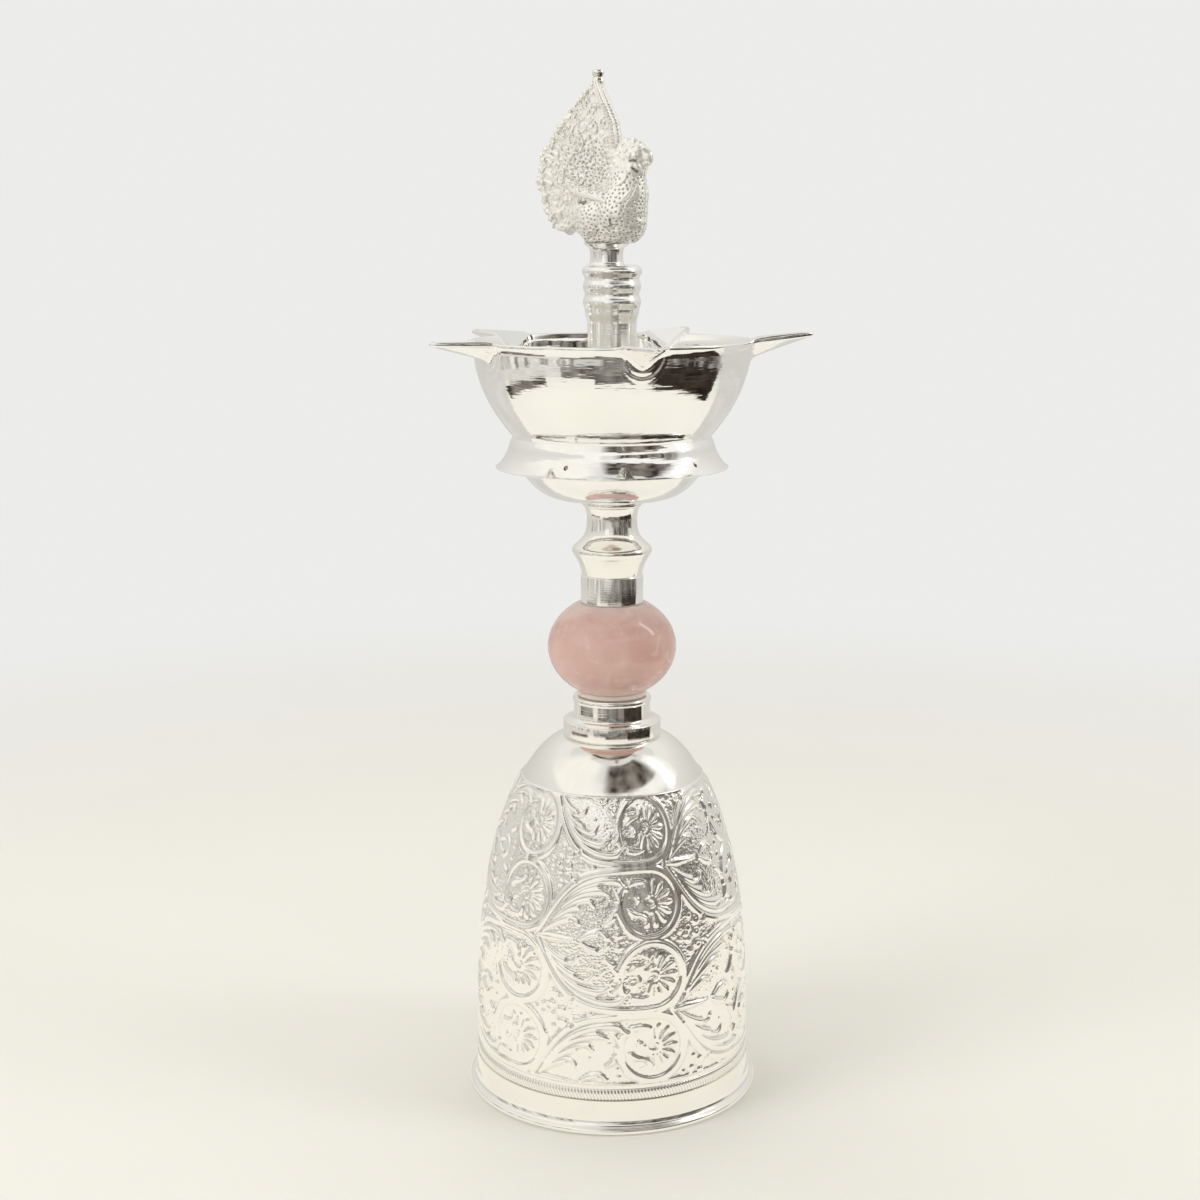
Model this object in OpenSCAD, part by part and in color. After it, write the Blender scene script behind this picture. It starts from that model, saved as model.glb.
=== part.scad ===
// Standing oil lamp: a chased bell base, a stem with a rose quartz bead,
// an oil bowl with wick beaks and a peacock finial.
// Millimetres, +Z up, origin on the table at the centre of the foot.

/* [Foot and bell] */
// Diameter over the rolled rim of the foot
foot_d = 80; // [78:0.5:96]
// Height of the plain flared foot
foot_h = 8.6; // [6:0.2:14]
// Diameter of the rolled rim's own bead
rim_roll = 1.6; // [1.2:0.1:2]
// Diameter of the bell wall at its lower edge
bell_d = 74.4; // [66:0.2:75]
// Diameter of the bell's flat crown under the collar
crown_d = 27; // [25:0.5:34]
// Height of the bell's crown above the table
bell_h = 98.7; // [75:0.1:125]
// Thickness of the bell's sheet metal
bell_sheet = 1.2; // [0.8:0.1:2]
// How long the bell wall stays steep before it turns in
bell_fullness = 2.6; // [2:0.1:4]
// How tightly the bell's shoulder is rounded
crown_rounding = 0.62; // [0.5:0.01:0.8]
// Height of the twisted wire border above the foot
border_h = 3.2; // [2:0.1:5]
// How far the wire border stands out of the bell wall
border_proud = 0.7; // [0.4:0.1:1]

/* [Collar and bead] */
// Diameter of the collar's lower step
collar_d = 26.6; // [24:0.2:32]
// Height of the collar's lower step
collar_step_h = 4.4; // [3:0.2:8]
// Diameter of the collar's upper step
collar_neck_d = 20.8; // [19:0.2:23]
// Height of the collar's upper step
collar_neck_h = 6.6; // [5:0.2:10]
// Largest diameter of the bead
bead_d = 34.8; // [28:0.2:42]
// Height of the bead between its flat ends
bead_h = 25.6; // [20:0.2:34]
// Diameter of the bead's flat ends
bead_end_d = 18.4; // [17:0.2:20]
// Height of the small lip at the bead's lower end
bead_lip_h = 1.6; // [1:0.1:2.4]

/* [Stem] */
// Diameter of the sleeve over the bead
sleeve_d = 16.8; // [14:0.2:18]
// Height of the sleeve
sleeve_h = 7.7; // [5:0.1:14]
// Height of the baluster
baluster_h = 20; // [16:0.2:30]
// Diameter of the baluster's foot
baluster_foot_d = 15.6; // [13:0.2:17]
// Diameter of the baluster's belly
belly_d = 21.5; // [18:0.2:26]
// Diameter of the baluster's neck
waist_neck_d = 13.2; // [11:0.2:15]
// Diameter of the baluster's top flange
stem_flange_d = 16; // [14:0.2:20]

/* [Rod, threads and fits] */
// Diameter of the tie rod
rod_d = 6; // [5:0.1:7]
// Length of thread that holds the bowl, and the post
engagement = 8; // [6:0.2:9]
// Diameter of the stud that holds the post
stud_d = 6; // [4:0.1:7]
// Radial running clearance of a thread
running_gap = 0.05; // [0.02:0.01:0.1]
// Radial clearance of a plain drilled hole
drill_gap = 0.25; // [0.1:0.05:0.4]
// Thickness of the two sealing washers
seal_t = 0.6; // [0.4:0.1:1.2]
// Width of the clamp nut across its flats
nut_flats = 10; // [9:0.5:13]
// Height of the clamp nut
nut_h = 5; // [3:0.5:7]
// Diameter of the clamp washer under the crown
clamp_d = 22; // [16:0.5:26]
// Thickness of the clamp washer
clamp_t = 1.5; // [1:0.1:3]

/* [Oil bowl] */
// Diameter of the bowl's flat floor
floor_d = 24.6; // [20:0.2:30]
// Diameter of the bowl's waist, where the skirt is soldered on
waist_d = 52.4; // [46:0.2:60]
// Diameter of the bowl's rim between the beaks
rim_d = 73; // [66:0.5:84]
// Height of the dish below the waist
dish_h = 16.7; // [12:0.1:20]
// Height of the wall from the waist to the rim
wall_h = 24.7; // [18:0.1:32]
// How quickly the wall turns upright above the waist
wall_turn = 2.1; // [1.8:0.1:2.6]
// How far the rim's lip flares out between the beaks
lip_flare = 0.8; // [0:0.1:2]
// Thickness of the bowl's sheet metal
bowl_sheet = 1; // [0.8:0.1:1.4]
// Number of wick beaks
beaks = 5; // [3:1:6]
// How far each beak reaches out past the rim
beak_reach = 16; // [10:0.5:20]
// How far below the rim the beaks start to swell out of the wall
beak_drop = 4.8; // [4:0.1:12]
// How far the tip of a beak stands above the rim
beak_lift = 0.3; // [0:0.1:2]
// Half the angle that a beak takes up on the rim
beak_half = 16; // [12:1:20]
// Direction of the first beak
beak_turn = -78; // [-90:1:90]

/* [Drip skirt] */
// Diameter of the skirt's lower edge
skirt_d = 61.8; // [58:0.2:70]
// Height of the skirt
skirt_h = 8.3; // [5:0.1:10]
// Thickness of the skirt's sheet metal
skirt_sheet = 1; // [0.8:0.1:1.4]
// Diameter of the small hanging holes between the beaks
hang_hole_d = 1.6; // [1:0.1:2.4]

/* [Post] */
// Height of the pedestal inside the bowl
pedestal_h = 16; // [15:0.2:18]
// Diameter of the pedestal and of the post's plain shaft
post_d = 13; // [11:0.2:15]
// Height of the post above its sealing washer
post_h = 44.7; // [34:0.1:60]
// Diameter of the post's two bead rings
post_ring_d = 15.3; // [14:0.1:18]
// Diameter of the post's top flange
post_flange_d = 15.8; // [14:0.1:18]

/* [Finial] */
// Height of the turned neck under the bird
neck_h = 5.6; // [4:0.1:10]
// Diameter of the neck at its narrowest
neck_d = 8.6; // [6:0.2:10]
// How far to one side of the lamp's axis the neck and the bird are soldered
finial_set = -1.4; // [-1.6:0.1:1.6]
// Turn of the bird about the lamp's axis
bird_turn = -30; // [-90:5:90]
// Diameter of the bird's breast
breast_d = 14.6; // [12:0.2:18]
// Height of the head's centre above the belly
head_h = 20.6; // [18:0.2:24]
// Diameter of the bird's head
head_d = 7.4; // [6:0.2:9]
// Height of the tail's tip above the belly
tail_h = 39.6; // [34:0.2:48]
// How far the tail spreads behind the lamp's axis
tail_back = 19.6; // [16:0.2:24]
// Thickness of the tail over its two halves
tail_t = 3.4; // [2.4:0.2:5]
// Diameter of the knob on the tail's tip
knob_d = 3.2; // [2:0.1:4]
// Height of the knob
knob_h = 3.4; // [2:0.1:5]

/* [Hidden] */

silver = [0.9, 0.89, 0.86];
dull_silver = [0.72, 0.71, 0.69];
quartz = [0.82, 0.63, 0.58];
fibre = [0.45, 0.3, 0.22];

// Facets of a turned piece, and of a rounded blob on the bird
turn_fn = 96;
blob_fn = 20;

// Small broken edge of a turned piece
edge = 0.3;

foot_r = foot_d / 2;
bell_r = bell_d / 2;
roll_r = rim_roll / 2;
foot_top_r = bell_r + border_proud;
foot_sheet = 1.6;
wall_z = foot_h + border_h;

rod_r = rod_d / 2;
stud_r = stud_d / 2;
rod_hole_r = rod_r + drill_gap;
rod_thread_r = rod_r + running_gap;
stud_thread_r = stud_r + running_gap;
rod_tail = 2;

collar_z = bell_h;
bead_z = collar_z + collar_step_h + collar_neck_h;
sleeve_z = bead_z + bead_h;
baluster_z = sleeve_z + sleeve_h;
stem_top_z = baluster_z + baluster_h;
bowl_z = stem_top_z + seal_t;
floor_z = bowl_z + bowl_sheet;
waist_z = bowl_z + dish_h;
rim_z = waist_z + wall_h;
pedestal_z = bowl_z + pedestal_h;
post_z = pedestal_z + seal_t;
post_top_z = post_z + post_h;
belly_z = post_top_z + neck_h;
nut_z = bell_h - bell_sheet - clamp_t - nut_h;

// The pedestal's spigot through the bowl's floor, and how deep the stud is set in its top
spigot_r = rod_r + 2.2;
thread_end_gap = 0.6;
stud_seat = pedestal_h - engagement - 2 * thread_end_gap;
solder_gap = 0.02;

// Value eased from a to b as t goes from 0 to 1
function ease(a, b, t) = a + (b - a) * (1 - cos(180 * t)) / 2;

// Points of a turned outline, eased through stations of [radius, height]
function turned(stations, steps = 8) = [
    for (i = [0 : len(stations) - 2])
        for (k = [0 : steps - 1])
            let (a = stations[i], b = stations[i + 1], t = k / steps)
                [ease(a.x, b.x, t), a.y + (b.y - a.y) * t],
    stations[len(stations) - 1]
];

function reversed(list) = [for (i = [len(list) - 1 : -1 : 0]) list[i]];

// Points on a circular or elliptical arc in the radius and height plane
function arc(centre, rx, ry, from, to, steps) = [
    for (i = [0 : steps])
        let (a = from + (to - from) * i / steps)
            [centre.x + rx * cos(a), centre.y + ry * sin(a)]
];

// Points on a cubic curve with two handles
function curve(a, ha, hb, b, steps) = [
    for (i = [0 : steps])
        let (t = i / steps, u = 1 - t)
            u * u * u * a + 3 * u * u * t * ha + 3 * u * t * t * hb + t * t * t * b
];

module lathe(outline) {
    rotate_extrude($fn = turn_fn) polygon(outline);
}

module ring(outer_r, inner_r, z, h) {
    lathe([[inner_r, z], [outer_r, z], [outer_r, z + h], [inner_r, z + h]]);
}

// Flared strip with a rolled rim; its top edge carries the bell and the wire border
module foot_ring() {
    steps = 8;
    flare = 2.2;
    rim_r = foot_r - roll_r;
    inner_top = bell_r - bell_sheet;
    inner_low = rim_r - foot_sheet;
    outer = [
        for (i = [0 : steps - 1])
            let (t = i / steps)
                [foot_top_r + (rim_r - foot_top_r) * pow(t, flare), foot_h - (foot_h - rim_roll) * t]
    ];
    inner = [
        for (i = [0 : steps])
            let (t = i / steps)
                [inner_top + (inner_low - inner_top) * pow(t, flare), foot_h * (1 - t)]
    ];
    roll = arc([rim_r, roll_r], roll_r, roll_r, 90, -90, 10);
    color(silver) lathe(concat(outer, roll, reversed(inner)));
}

// Half-round wire that lies against the bell's straight lower edge
module border_wire() {
    half = arc([bell_r, foot_h + border_h / 2], border_proud, border_h / 2, -90, 90, 12);
    color(silver) lathe(half);
}

// Share of the bell's width that is left at a share t of its height
function bell_share(t) = pow(1 - pow(t, bell_fullness), crown_rounding);

function bell_side(low_r, top_r, top_z, steps = 28) = [
    for (i = [0 : steps])
        let (t = sin(90 * i / steps))
            [top_r + (low_r - top_r) * bell_share(t), wall_z + (top_z - wall_z) * t]
];

// Raised sheet-metal bell, open underneath, with a hole for the rod in its crown
module base_bell() {
    crown_r = crown_d / 2;
    inner_r = bell_r - bell_sheet;
    under_z = bell_h - bell_sheet;
    color(silver) lathe(concat(
        [[bell_r, foot_h]],
        bell_side(bell_r, crown_r, bell_h),
        [[rod_hole_r, bell_h], [rod_hole_r, under_z]],
        reversed(bell_side(inner_r, crown_r, under_z)),
        [[inner_r, foot_h]]
    ));
}

module clamp_washer() {
    color(dull_silver) ring(clamp_d / 2, rod_hole_r, nut_z + nut_h, clamp_t);
}

module clamp_nut() {
    color(dull_silver) translate([0, 0, nut_z]) difference() {
        cylinder(r = nut_flats / 2 / cos(30), h = nut_h, $fn = 6);
        translate([0, 0, -1]) cylinder(r = rod_thread_r, h = nut_h + 2, $fn = turn_fn);
    }
}

// Threaded rod from under the nut up into the pedestal's socket
module tie_rod() {
    low = nut_z - rod_tail;
    high = bowl_z + engagement;
    color(dull_silver) lathe([
        [0, low], [rod_r - edge, low], [rod_r, low + edge],
        [rod_r, high - edge], [rod_r - edge, high], [0, high]
    ]);
}

// Two-step turned collar: a cove between the steps and a thin lip under the bead
module base_collar() {
    low_r = collar_d / 2;
    neck_r = collar_neck_d / 2;
    lip_h = 1.3;
    lip_proud = 0.25;
    cove_h = 1.2;
    step_z = collar_z + collar_step_h - edge;
    cove = arc([low_r - edge, step_z + edge + cove_h], low_r - edge - neck_r, cove_h, 270, 180, 6);
    color(silver) lathe(concat(
        [[rod_hole_r, collar_z], [low_r - edge, collar_z], [low_r, collar_z + edge], [low_r, step_z]],
        cove,
        [
            [neck_r, bead_z - lip_h - edge], [neck_r + lip_proud, bead_z - lip_h],
            [neck_r + lip_proud, bead_z - edge], [neck_r + lip_proud - edge, bead_z], [rod_hole_r, bead_z]
        ]
    ));
}

// Rose quartz bead: a flattened ball on a small rounded lip, bored for the rod
module rose_bead() {
    bead_r = bead_d / 2;
    end_r = bead_end_d / 2;
    half_h = (bead_h - bead_lip_h) / 2;
    end_angle = acos(end_r / bead_r);
    ball_ry = half_h / sin(end_angle);
    ball_centre = [0, bead_z + bead_lip_h + half_h];
    lip = arc([end_r - edge, bead_z + bead_lip_h / 2], 2 * edge, bead_lip_h / 2, -90, 80, 6);
    color(quartz) lathe(concat(
        [[rod_hole_r, bead_z]],
        lip,
        arc(ball_centre, bead_r, ball_ry, -end_angle, end_angle, 28),
        [[rod_hole_r, sleeve_z]]
    ));
}

module stem_sleeve() {
    sleeve_r = sleeve_d / 2;
    color(silver) lathe([
        [rod_hole_r, sleeve_z], [sleeve_r - edge, sleeve_z], [sleeve_r, sleeve_z + edge],
        [sleeve_r, baluster_z - edge], [sleeve_r - edge, baluster_z], [rod_hole_r, baluster_z]
    ]);
}

// Vase-shaped turning with a flange that carries the bowl
module baluster() {
    flange_r = stem_flange_d / 2;
    flange_h = 1.4;
    flange_z = stem_top_z - flange_h;
    foot_edge_h = 1;
    belly_share = 0.32;
    neck_share = 0.7;
    vase = turned([
        [baluster_foot_d / 2, baluster_z + foot_edge_h],
        [belly_d / 2, baluster_z + belly_share * baluster_h],
        [waist_neck_d / 2, baluster_z + neck_share * baluster_h],
        [flange_r - 2 * edge, flange_z - edge]
    ], 10);
    color(silver) lathe(concat(
        [[rod_hole_r, baluster_z], [baluster_foot_d / 2, baluster_z]],
        vase,
        [
            [flange_r - edge, flange_z], [flange_r, flange_z + edge],
            [flange_r, stem_top_z - edge], [flange_r - edge, stem_top_z], [rod_hole_r, stem_top_z]
        ]
    ));
}

module bowl_seal() {
    color(fibre) ring(stem_flange_d / 2 - 2 * edge, rod_thread_r, stem_top_z, seal_t);
}

// Share of a beak's reach at an angle off its middle: drawn to a rounded point with hollow sides
function beak_share(off) =
    let (
        taper = 1.6,
        tip_round = 0.14,
        u = min(1, abs(off) / beak_half),
        blunt = (sqrt(u * u + tip_round * tip_round) - tip_round)
            / (sqrt(1 + tip_round * tip_round) - tip_round)
    ) pow(1 - blunt, taper);

// Share of the beak's reach at a share t of the wall's height
beak_start = 1 - beak_drop / wall_h;
beak_curve = 1.6;
function beak_rise(t) = t <= beak_start ? 0 : pow((t - beak_start) / (1 - beak_start), beak_curve);

// Share of the lip's flare, over the last little of the wall
lip_start = 0.9;
function lip_rise(t) = t <= lip_start ? 0 : pow((t - lip_start) / (1 - lip_start), 2);

// Outer radius of the wall above the waist
function wall_r(t, off) =
    waist_d / 2 + (rim_d - waist_d) / 2 * (1 - pow(1 - t, wall_turn))
    + lip_flare * (1 - beak_share(off)) * lip_rise(t)
    + beak_reach * beak_share(off) * beak_rise(t);

// Height of the wall's outer face, with the beaks' tips lifted
function wall_height(t, off) = waist_z + wall_h * t + beak_lift * beak_share(off) * beak_rise(t);

// Point of the inner face: a sheet's thickness in from the outer one, level at the waist
// and square to the slope of the wall from halfway up
function wall_inner(t, off) =
    let (
        dt = 0.01,
        da = 0.5,
        r = wall_r(t, off),
        low = max(0, t - dt),
        high = min(1, t + dt),
        slope = (wall_r(high, off) - wall_r(low, off)) / (wall_height(high, off) - wall_height(low, off)),
        side = (wall_r(t, off + da) - wall_r(t, off - da)) / (2 * da * PI / 180 * r),
        level = bowl_sheet * sqrt(1 + slope * slope + side * side),
        square = level / (1 + slope * slope),
        turn = min(1, 2 * t)
    ) [r - level + (level - square) * turn, wall_height(t, off) + slope * square * turn];

// Angles off a beak's middle at which the bowl has a column of points
beak_steps = [0, 0.06, 0.14, 0.24, 0.36, 0.5, 0.66, 0.83, 1];
plain_columns = 4;
function sector_angles() =
    let (
        pitch = 360 / beaks,
        plain = pitch - 2 * beak_half,
        half = [for (s = beak_steps) s * beak_half]
    ) concat(
        reversed([for (i = [1 : len(half) - 1]) -half[i]]),
        half,
        [for (i = [1 : plain_columns]) beak_half + plain * i / (plain_columns + 1)]
    );

// Heights on the wall, as shares, with more rows where the beaks swell
plain_rows = 4;
beak_rows = 6;
wall_shares = concat(
    [for (i = [0 : plain_rows - 1]) beak_start * i / plain_rows],
    [for (i = [0 : beak_rows]) beak_start + (1 - beak_start) * i / beak_rows]
);

// One column of the bowl's section, from the hole in the floor up the outside and down the inside
function bowl_column(off) =
    let (
        dish_steps = 5,
        hole_r = spigot_r + solder_gap,
        floor_r = floor_d / 2,
        inner_waist = wall_inner(0, beak_half).x
    ) concat(
        [[hole_r, bowl_z]],
        [for (i = [0 : dish_steps - 1]) let (a = 90 * i / dish_steps)
            [floor_r + (waist_d / 2 - floor_r) * sin(a), bowl_z + dish_h * (1 - cos(a))]],
        [for (t = wall_shares) [wall_r(t, off), wall_height(t, off)]],
        [for (t = reversed(wall_shares)) wall_inner(t, off)],
        [for (i = [dish_steps - 1 : -1 : 0]) let (a = 90 * i / dish_steps)
            [floor_r + (inner_waist - floor_r) * sin(a), floor_z + (dish_h - bowl_sheet) * (1 - cos(a))]],
        [[hole_r, floor_z]]
    );

// Spun bowl whose rim is drawn out into the wick beaks
module oil_bowl() {
    columns = [
        for (k = [0 : beaks - 1])
            for (off = sector_angles())
                let (a = beak_turn + 360 / beaks * k + off)
                    [for (p = bowl_column(off)) [p.x * cos(a), p.x * sin(a), p.y]]
    ];
    n = len(columns);
    m = len(columns[0]);
    color(silver) polyhedron(
        points = [for (column = columns) for (p = column) p],
        faces = [
            for (i = [0 : n - 1])
                for (j = [0 : m - 1])
                    let (
                        a = i * m + j,
                        b = i * m + (j + 1) % m,
                        c = (i + 1) % n * m + (j + 1) % m,
                        d = (i + 1) % n * m + j
                    )
                        each [[a, b, c], [a, c, d]]
        ]
    );
}

// Flared ring soldered under the waist, drilled between the beaks for hanging drops
module drip_skirt() {
    steps = 10;
    flare = 1.7;
    hole_share = 0.66;
    top_r = waist_d / 2 + solder_gap;
    low_r = skirt_d / 2 - skirt_sheet;
    inner = [
        for (i = [0 : steps])
            let (t = i / steps)
                [top_r + (low_r - top_r) * pow(t, flare), waist_z - skirt_h * t]
    ];
    outer = [for (p = inner) [p.x + skirt_sheet, p.y]];
    color(silver) difference() {
        lathe(concat(inner, reversed(outer)));
        for (k = [0 : beaks - 1])
            rotate([0, 0, beak_turn + 360 / beaks * (k + 0.5)])
                translate([top_r - 1, 0, waist_z - hole_share * skirt_h])
                    rotate([0, 90, 0])
                        cylinder(d = hang_hole_d, h = skirt_d / 2 - top_r + 2, $fn = 24);
    }
}

// Turned boss soldered to the bowl's floor: rod socket below, stud hole above
module bowl_pedestal() {
    post_r = post_d / 2;
    socket_top = bowl_z + engagement + thread_end_gap;
    stud_low = pedestal_z - stud_seat;
    color(silver) lathe([
        [rod_thread_r, bowl_z], [spigot_r, bowl_z], [spigot_r, floor_z], [post_r, floor_z],
        [post_r, pedestal_z - edge], [post_r - edge, pedestal_z],
        [stud_r + solder_gap, pedestal_z], [stud_r + solder_gap, stud_low],
        [0, stud_low], [0, socket_top], [rod_thread_r, socket_top]
    ]);
}

module post_stud() {
    low = pedestal_z - stud_seat;
    high = post_z + engagement;
    color(dull_silver) lathe([
        [0, low], [stud_r, low], [stud_r, high - edge], [stud_r - edge, high], [0, high]
    ]);
}

module post_seal() {
    color(fibre) ring(post_d / 2 - edge, stud_thread_r, pedestal_z, seal_t);
}

// Ringed centre post: plain shaft, two bead rings and a top flange, threaded underneath
module post() {
    post_r = post_d / 2;
    ring_r = post_ring_d / 2;
    flange_r = post_flange_d / 2;
    groove = 0.5;
    ring_pitch = 4.1;
    flange_h = 3.4;
    taper_h = 3.6;
    socket_top = post_z + engagement + thread_end_gap;
    flange_z = post_top_z - flange_h;
    ring_z = flange_z - 2 * ring_pitch;
    rings = turned([
        [post_r, ring_z - taper_h],
        [ring_r - groove, ring_z],
        [ring_r, ring_z + ring_pitch / 2],
        [ring_r - groove, ring_z + ring_pitch],
        [ring_r, ring_z + 1.5 * ring_pitch],
        [ring_r - groove, flange_z],
        [flange_r, post_top_z - flange_h / 2]
    ], 6);
    color(silver) lathe(concat(
        [[stud_thread_r, post_z], [post_r - edge, post_z], [post_r, post_z + edge]],
        rings,
        arc([flange_r - flange_h / 2, post_top_z - flange_h / 2], flange_h / 2, flange_h / 2, 15, 90, 6),
        [[0, post_top_z], [0, socket_top], [stud_thread_r, socket_top]]
    ));
}

// Hollow-curved turning that carries the bird on its flat top
module finial_neck() {
    foot_r = neck_d / 2 + 0.5;
    cup_r = neck_d / 2 + 1.7;
    narrow_share = 0.4;
    side = turned([
        [foot_r, post_top_z],
        [neck_d / 2, post_top_z + narrow_share * neck_h],
        [cup_r, belly_z - edge]
    ], 10);
    color(silver) translate([finial_set, 0, 0])
        lathe(concat([[0, post_top_z]], side, [[cup_r, belly_z], [0, belly_z]]));
}

// The bird's outlines lie in its middle plane: x towards its beak, y up from its base line,
// which is a little above the flat of its belly.
belly_cut = 0.9;
tail_tip = [-2.5, tail_h];
tail_front = 3.4;
tail_root = [-9.4, 2.8];
tail_back_point = [-tail_back, 0.37 * tail_h];
tail_low_handles = [[-0.82 * tail_back, 0.6], [-0.9 * tail_back, 0.18 * tail_h]];
tail_high_handles = [[-1.07 * tail_back, 0.56 * tail_h], [-0.64 * tail_back, 0.77 * tail_h]];

// Leaf-shaped tail, drawn in by inset all round
function tail_outline(inset) =
    let (
        half_tip = 0.7,
        back = tail_back_point + [inset, 0],
        tip_back = [tail_tip.x - half_tip + inset / 2, tail_h],
        tip_front = [tail_tip.x + half_tip - inset / 2, tail_h],
        front = [tail_front - inset, 0.6 * tail_h],
        in = [inset, 0]
    ) concat(
        curve(tail_root + [0, inset], tail_low_handles[0] + [inset, inset], tail_low_handles[1] + in, back, 8),
        curve(back, tail_high_handles[0] + in, tail_high_handles[1] + in, tip_back, 12),
        curve(tip_front, tip_front + [1.2, -5], front + [0.3, 6.5], front, 10),
        [[2.4, 0.32 * tail_h]]
    );

module slab(outline, h) {
    linear_extrude(h) polygon(outline);
}

// Ball on the bird, at a point of the middle plane and a distance out from it
module blob(p, out, d) {
    translate([p.x, p.y, out]) sphere(d = d, $fn = blob_fn);
}

// Joins balls given as [point, distance out, diameter] into one rounded run
module run(balls) {
    for (i = [0 : len(balls) - 2])
        hull() {
            blob(balls[i][0], balls[i][1], balls[i][2]);
            blob(balls[i + 1][0], balls[i + 1][1], balls[i + 1][2]);
        }
}

// Feather with a raised eye, from its root to its rounded tip
module feather(root, tip, d) {
    lift = tail_t / 2;
    hull() {
        translate([root.x, root.y, 0]) cylinder(d = 0.4 * d, h = lift + 0.2, $fn = 12);
        translate([tip.x, tip.y, 0]) cylinder(d1 = d, d2 = 0.7 * d, h = lift + 0.5, $fn = 16);
    }
    translate([tip.x, tip.y, 0]) cylinder(d1 = d, d2 = 0.3 * d, h = lift + 1, $fn = 14);
}

// Fan of feathers: an outer row whose tips scallop the tail's edge and an inner row between them
module feathers() {
    root = [-1, 0.33 * tail_h];
    feather_d = 4;
    tip_share = 0.93;
    low = curve(tail_root, tail_low_handles[0], tail_low_handles[1], tail_back_point, 6);
    high = curve(tail_back_point, tail_high_handles[0], tail_high_handles[1], tail_tip, 7);
    tips = concat([for (i = [1, 3, 5]) low[i]], [for (i = [0 : 5]) high[i]]);
    for (tip = tips)
        feather(root + 0.5 * (tip - root), root + tip_share * (tip - root), feather_d);
    for (i = [0 : len(tips) - 2])
        let (tip = (tips[i] + tips[i + 1]) / 2)
            feather(root + 0.2 * (tip - root), root + 0.6 * (tip - root), 0.8 * feather_d);
}

// One stamped half of the bird, on the positive side of the middle plane
module peacock_half() {
    breast = [4, breast_d / 2 - 0.5];
    rump = [-4.4, 0.82 * breast_d / 2];
    head = [8, head_h];
    wing_out = 0.35 * breast_d;
    seam = 0.35;
    seam_h = 0.5;
    rim_w = 1.3;
    rim_lift = 0.3;
    intersection() {
        union() {
            slab(tail_outline(seam), tail_t / 2);
            translate([0, 0, seam_h]) slab(tail_outline(0), tail_t / 2 - seam_h);
            translate([0, 0, seam_h]) difference() {
                slab(tail_outline(0), tail_t / 2 - seam_h + rim_lift);
                translate([0, 0, -1]) slab(tail_outline(rim_w), tail_t);
            }
            feathers();
            run([
                [[-9, 0.46 * breast_d], 0, 5],
                [rump, 0, 0.76 * breast_d],
                [breast, 0, breast_d],
                [[6.2, 0.56 * head_h], 0, 0.74 * breast_d],
                [[6.8, 0.78 * head_h], 0, 1.16 * head_d],
                [head, 0, head_d],
                [head + [2.6, 0.1], 0, 0.56 * head_d],
                [head + [4.2, -0.2], 0, 0.4 * head_d]
            ]);
            // Belly that sits on the neck, and the nape that closes the gap to the tail
            run([[[-1.8, 0.27 * breast_d], 0, 0.84 * breast_d], [[5.2, 0.31 * breast_d], 0, 0.84 * breast_d]]);
            run([
                [[4.6, 0.62 * head_h], 0, 0.6 * breast_d],
                [[4.9, head_h], 0, 0.86 * head_d],
                [[5.6, head_h + 3.4], 0, 0.4 * head_d]
            ]);
            translate([-1.7, 0.36 * breast_d, wing_out]) scale([1, 1, 0.45]) sphere(d = 0.6 * breast_d, $fn = 28);
            run([
                [[2.2, 0.68 * breast_d], 0.82 * wing_out, 0.32 * breast_d],
                [[-4.8, 0.8 * breast_d], 0.6 * wing_out, 0.26 * breast_d],
                [[-11, 0.98 * breast_d], 0.24 * wing_out, 0.14 * breast_d]
            ]);
            for (lean = [-24, 2, 28])
                run([[head, 0, 0.6 * head_d], [head + (4.3 - lean / 50) * [sin(lean), cos(lean)], 0, 0.26 * head_d]]);
        }
        translate([-2 * tail_back, -belly_cut, 0]) cube([4 * tail_back, 2 * tail_h, 2 * breast_d]);
    }
}

// Stands a half up on the neck and turns it to its heading
module on_neck() {
    translate([finial_set, 0, belly_z + belly_cut]) rotate([0, 0, bird_turn]) rotate([90, 0, 0]) children();
}

module peacock_right_half() {
    color(silver) on_neck() peacock_half();
}

module peacock_left_half() {
    color(silver) on_neck() mirror([0, 0, 1]) peacock_half();
}

// Small turned knob on the flat tip of the tail
module tip_knob() {
    knob_r = knob_d / 2;
    waist = 0.82 * knob_r;
    color(silver) translate([finial_set, 0, belly_z + belly_cut + tail_h])
        rotate([0, 0, bird_turn]) translate([tail_tip.x, 0, 0])
            lathe(concat(
                [[0, 0]],
                turned([[knob_r, 0], [waist, 0.45 * knob_h], [knob_r, 0.75 * knob_h], [waist, knob_h]], 5),
                [[0, knob_h]]
            ));
}

foot_ring();
border_wire();
base_bell();
clamp_washer();
clamp_nut();
tie_rod();
base_collar();
rose_bead();
stem_sleeve();
baluster();
bowl_seal();
oil_bowl();
drip_skirt();
bowl_pedestal();
post_stud();
post_seal();
post();
finial_neck();
peacock_left_half();
peacock_right_half();
tip_knob();
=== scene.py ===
import math

import bmesh
import bpy
import numpy as np
from mathutils import Matrix, Vector


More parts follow.
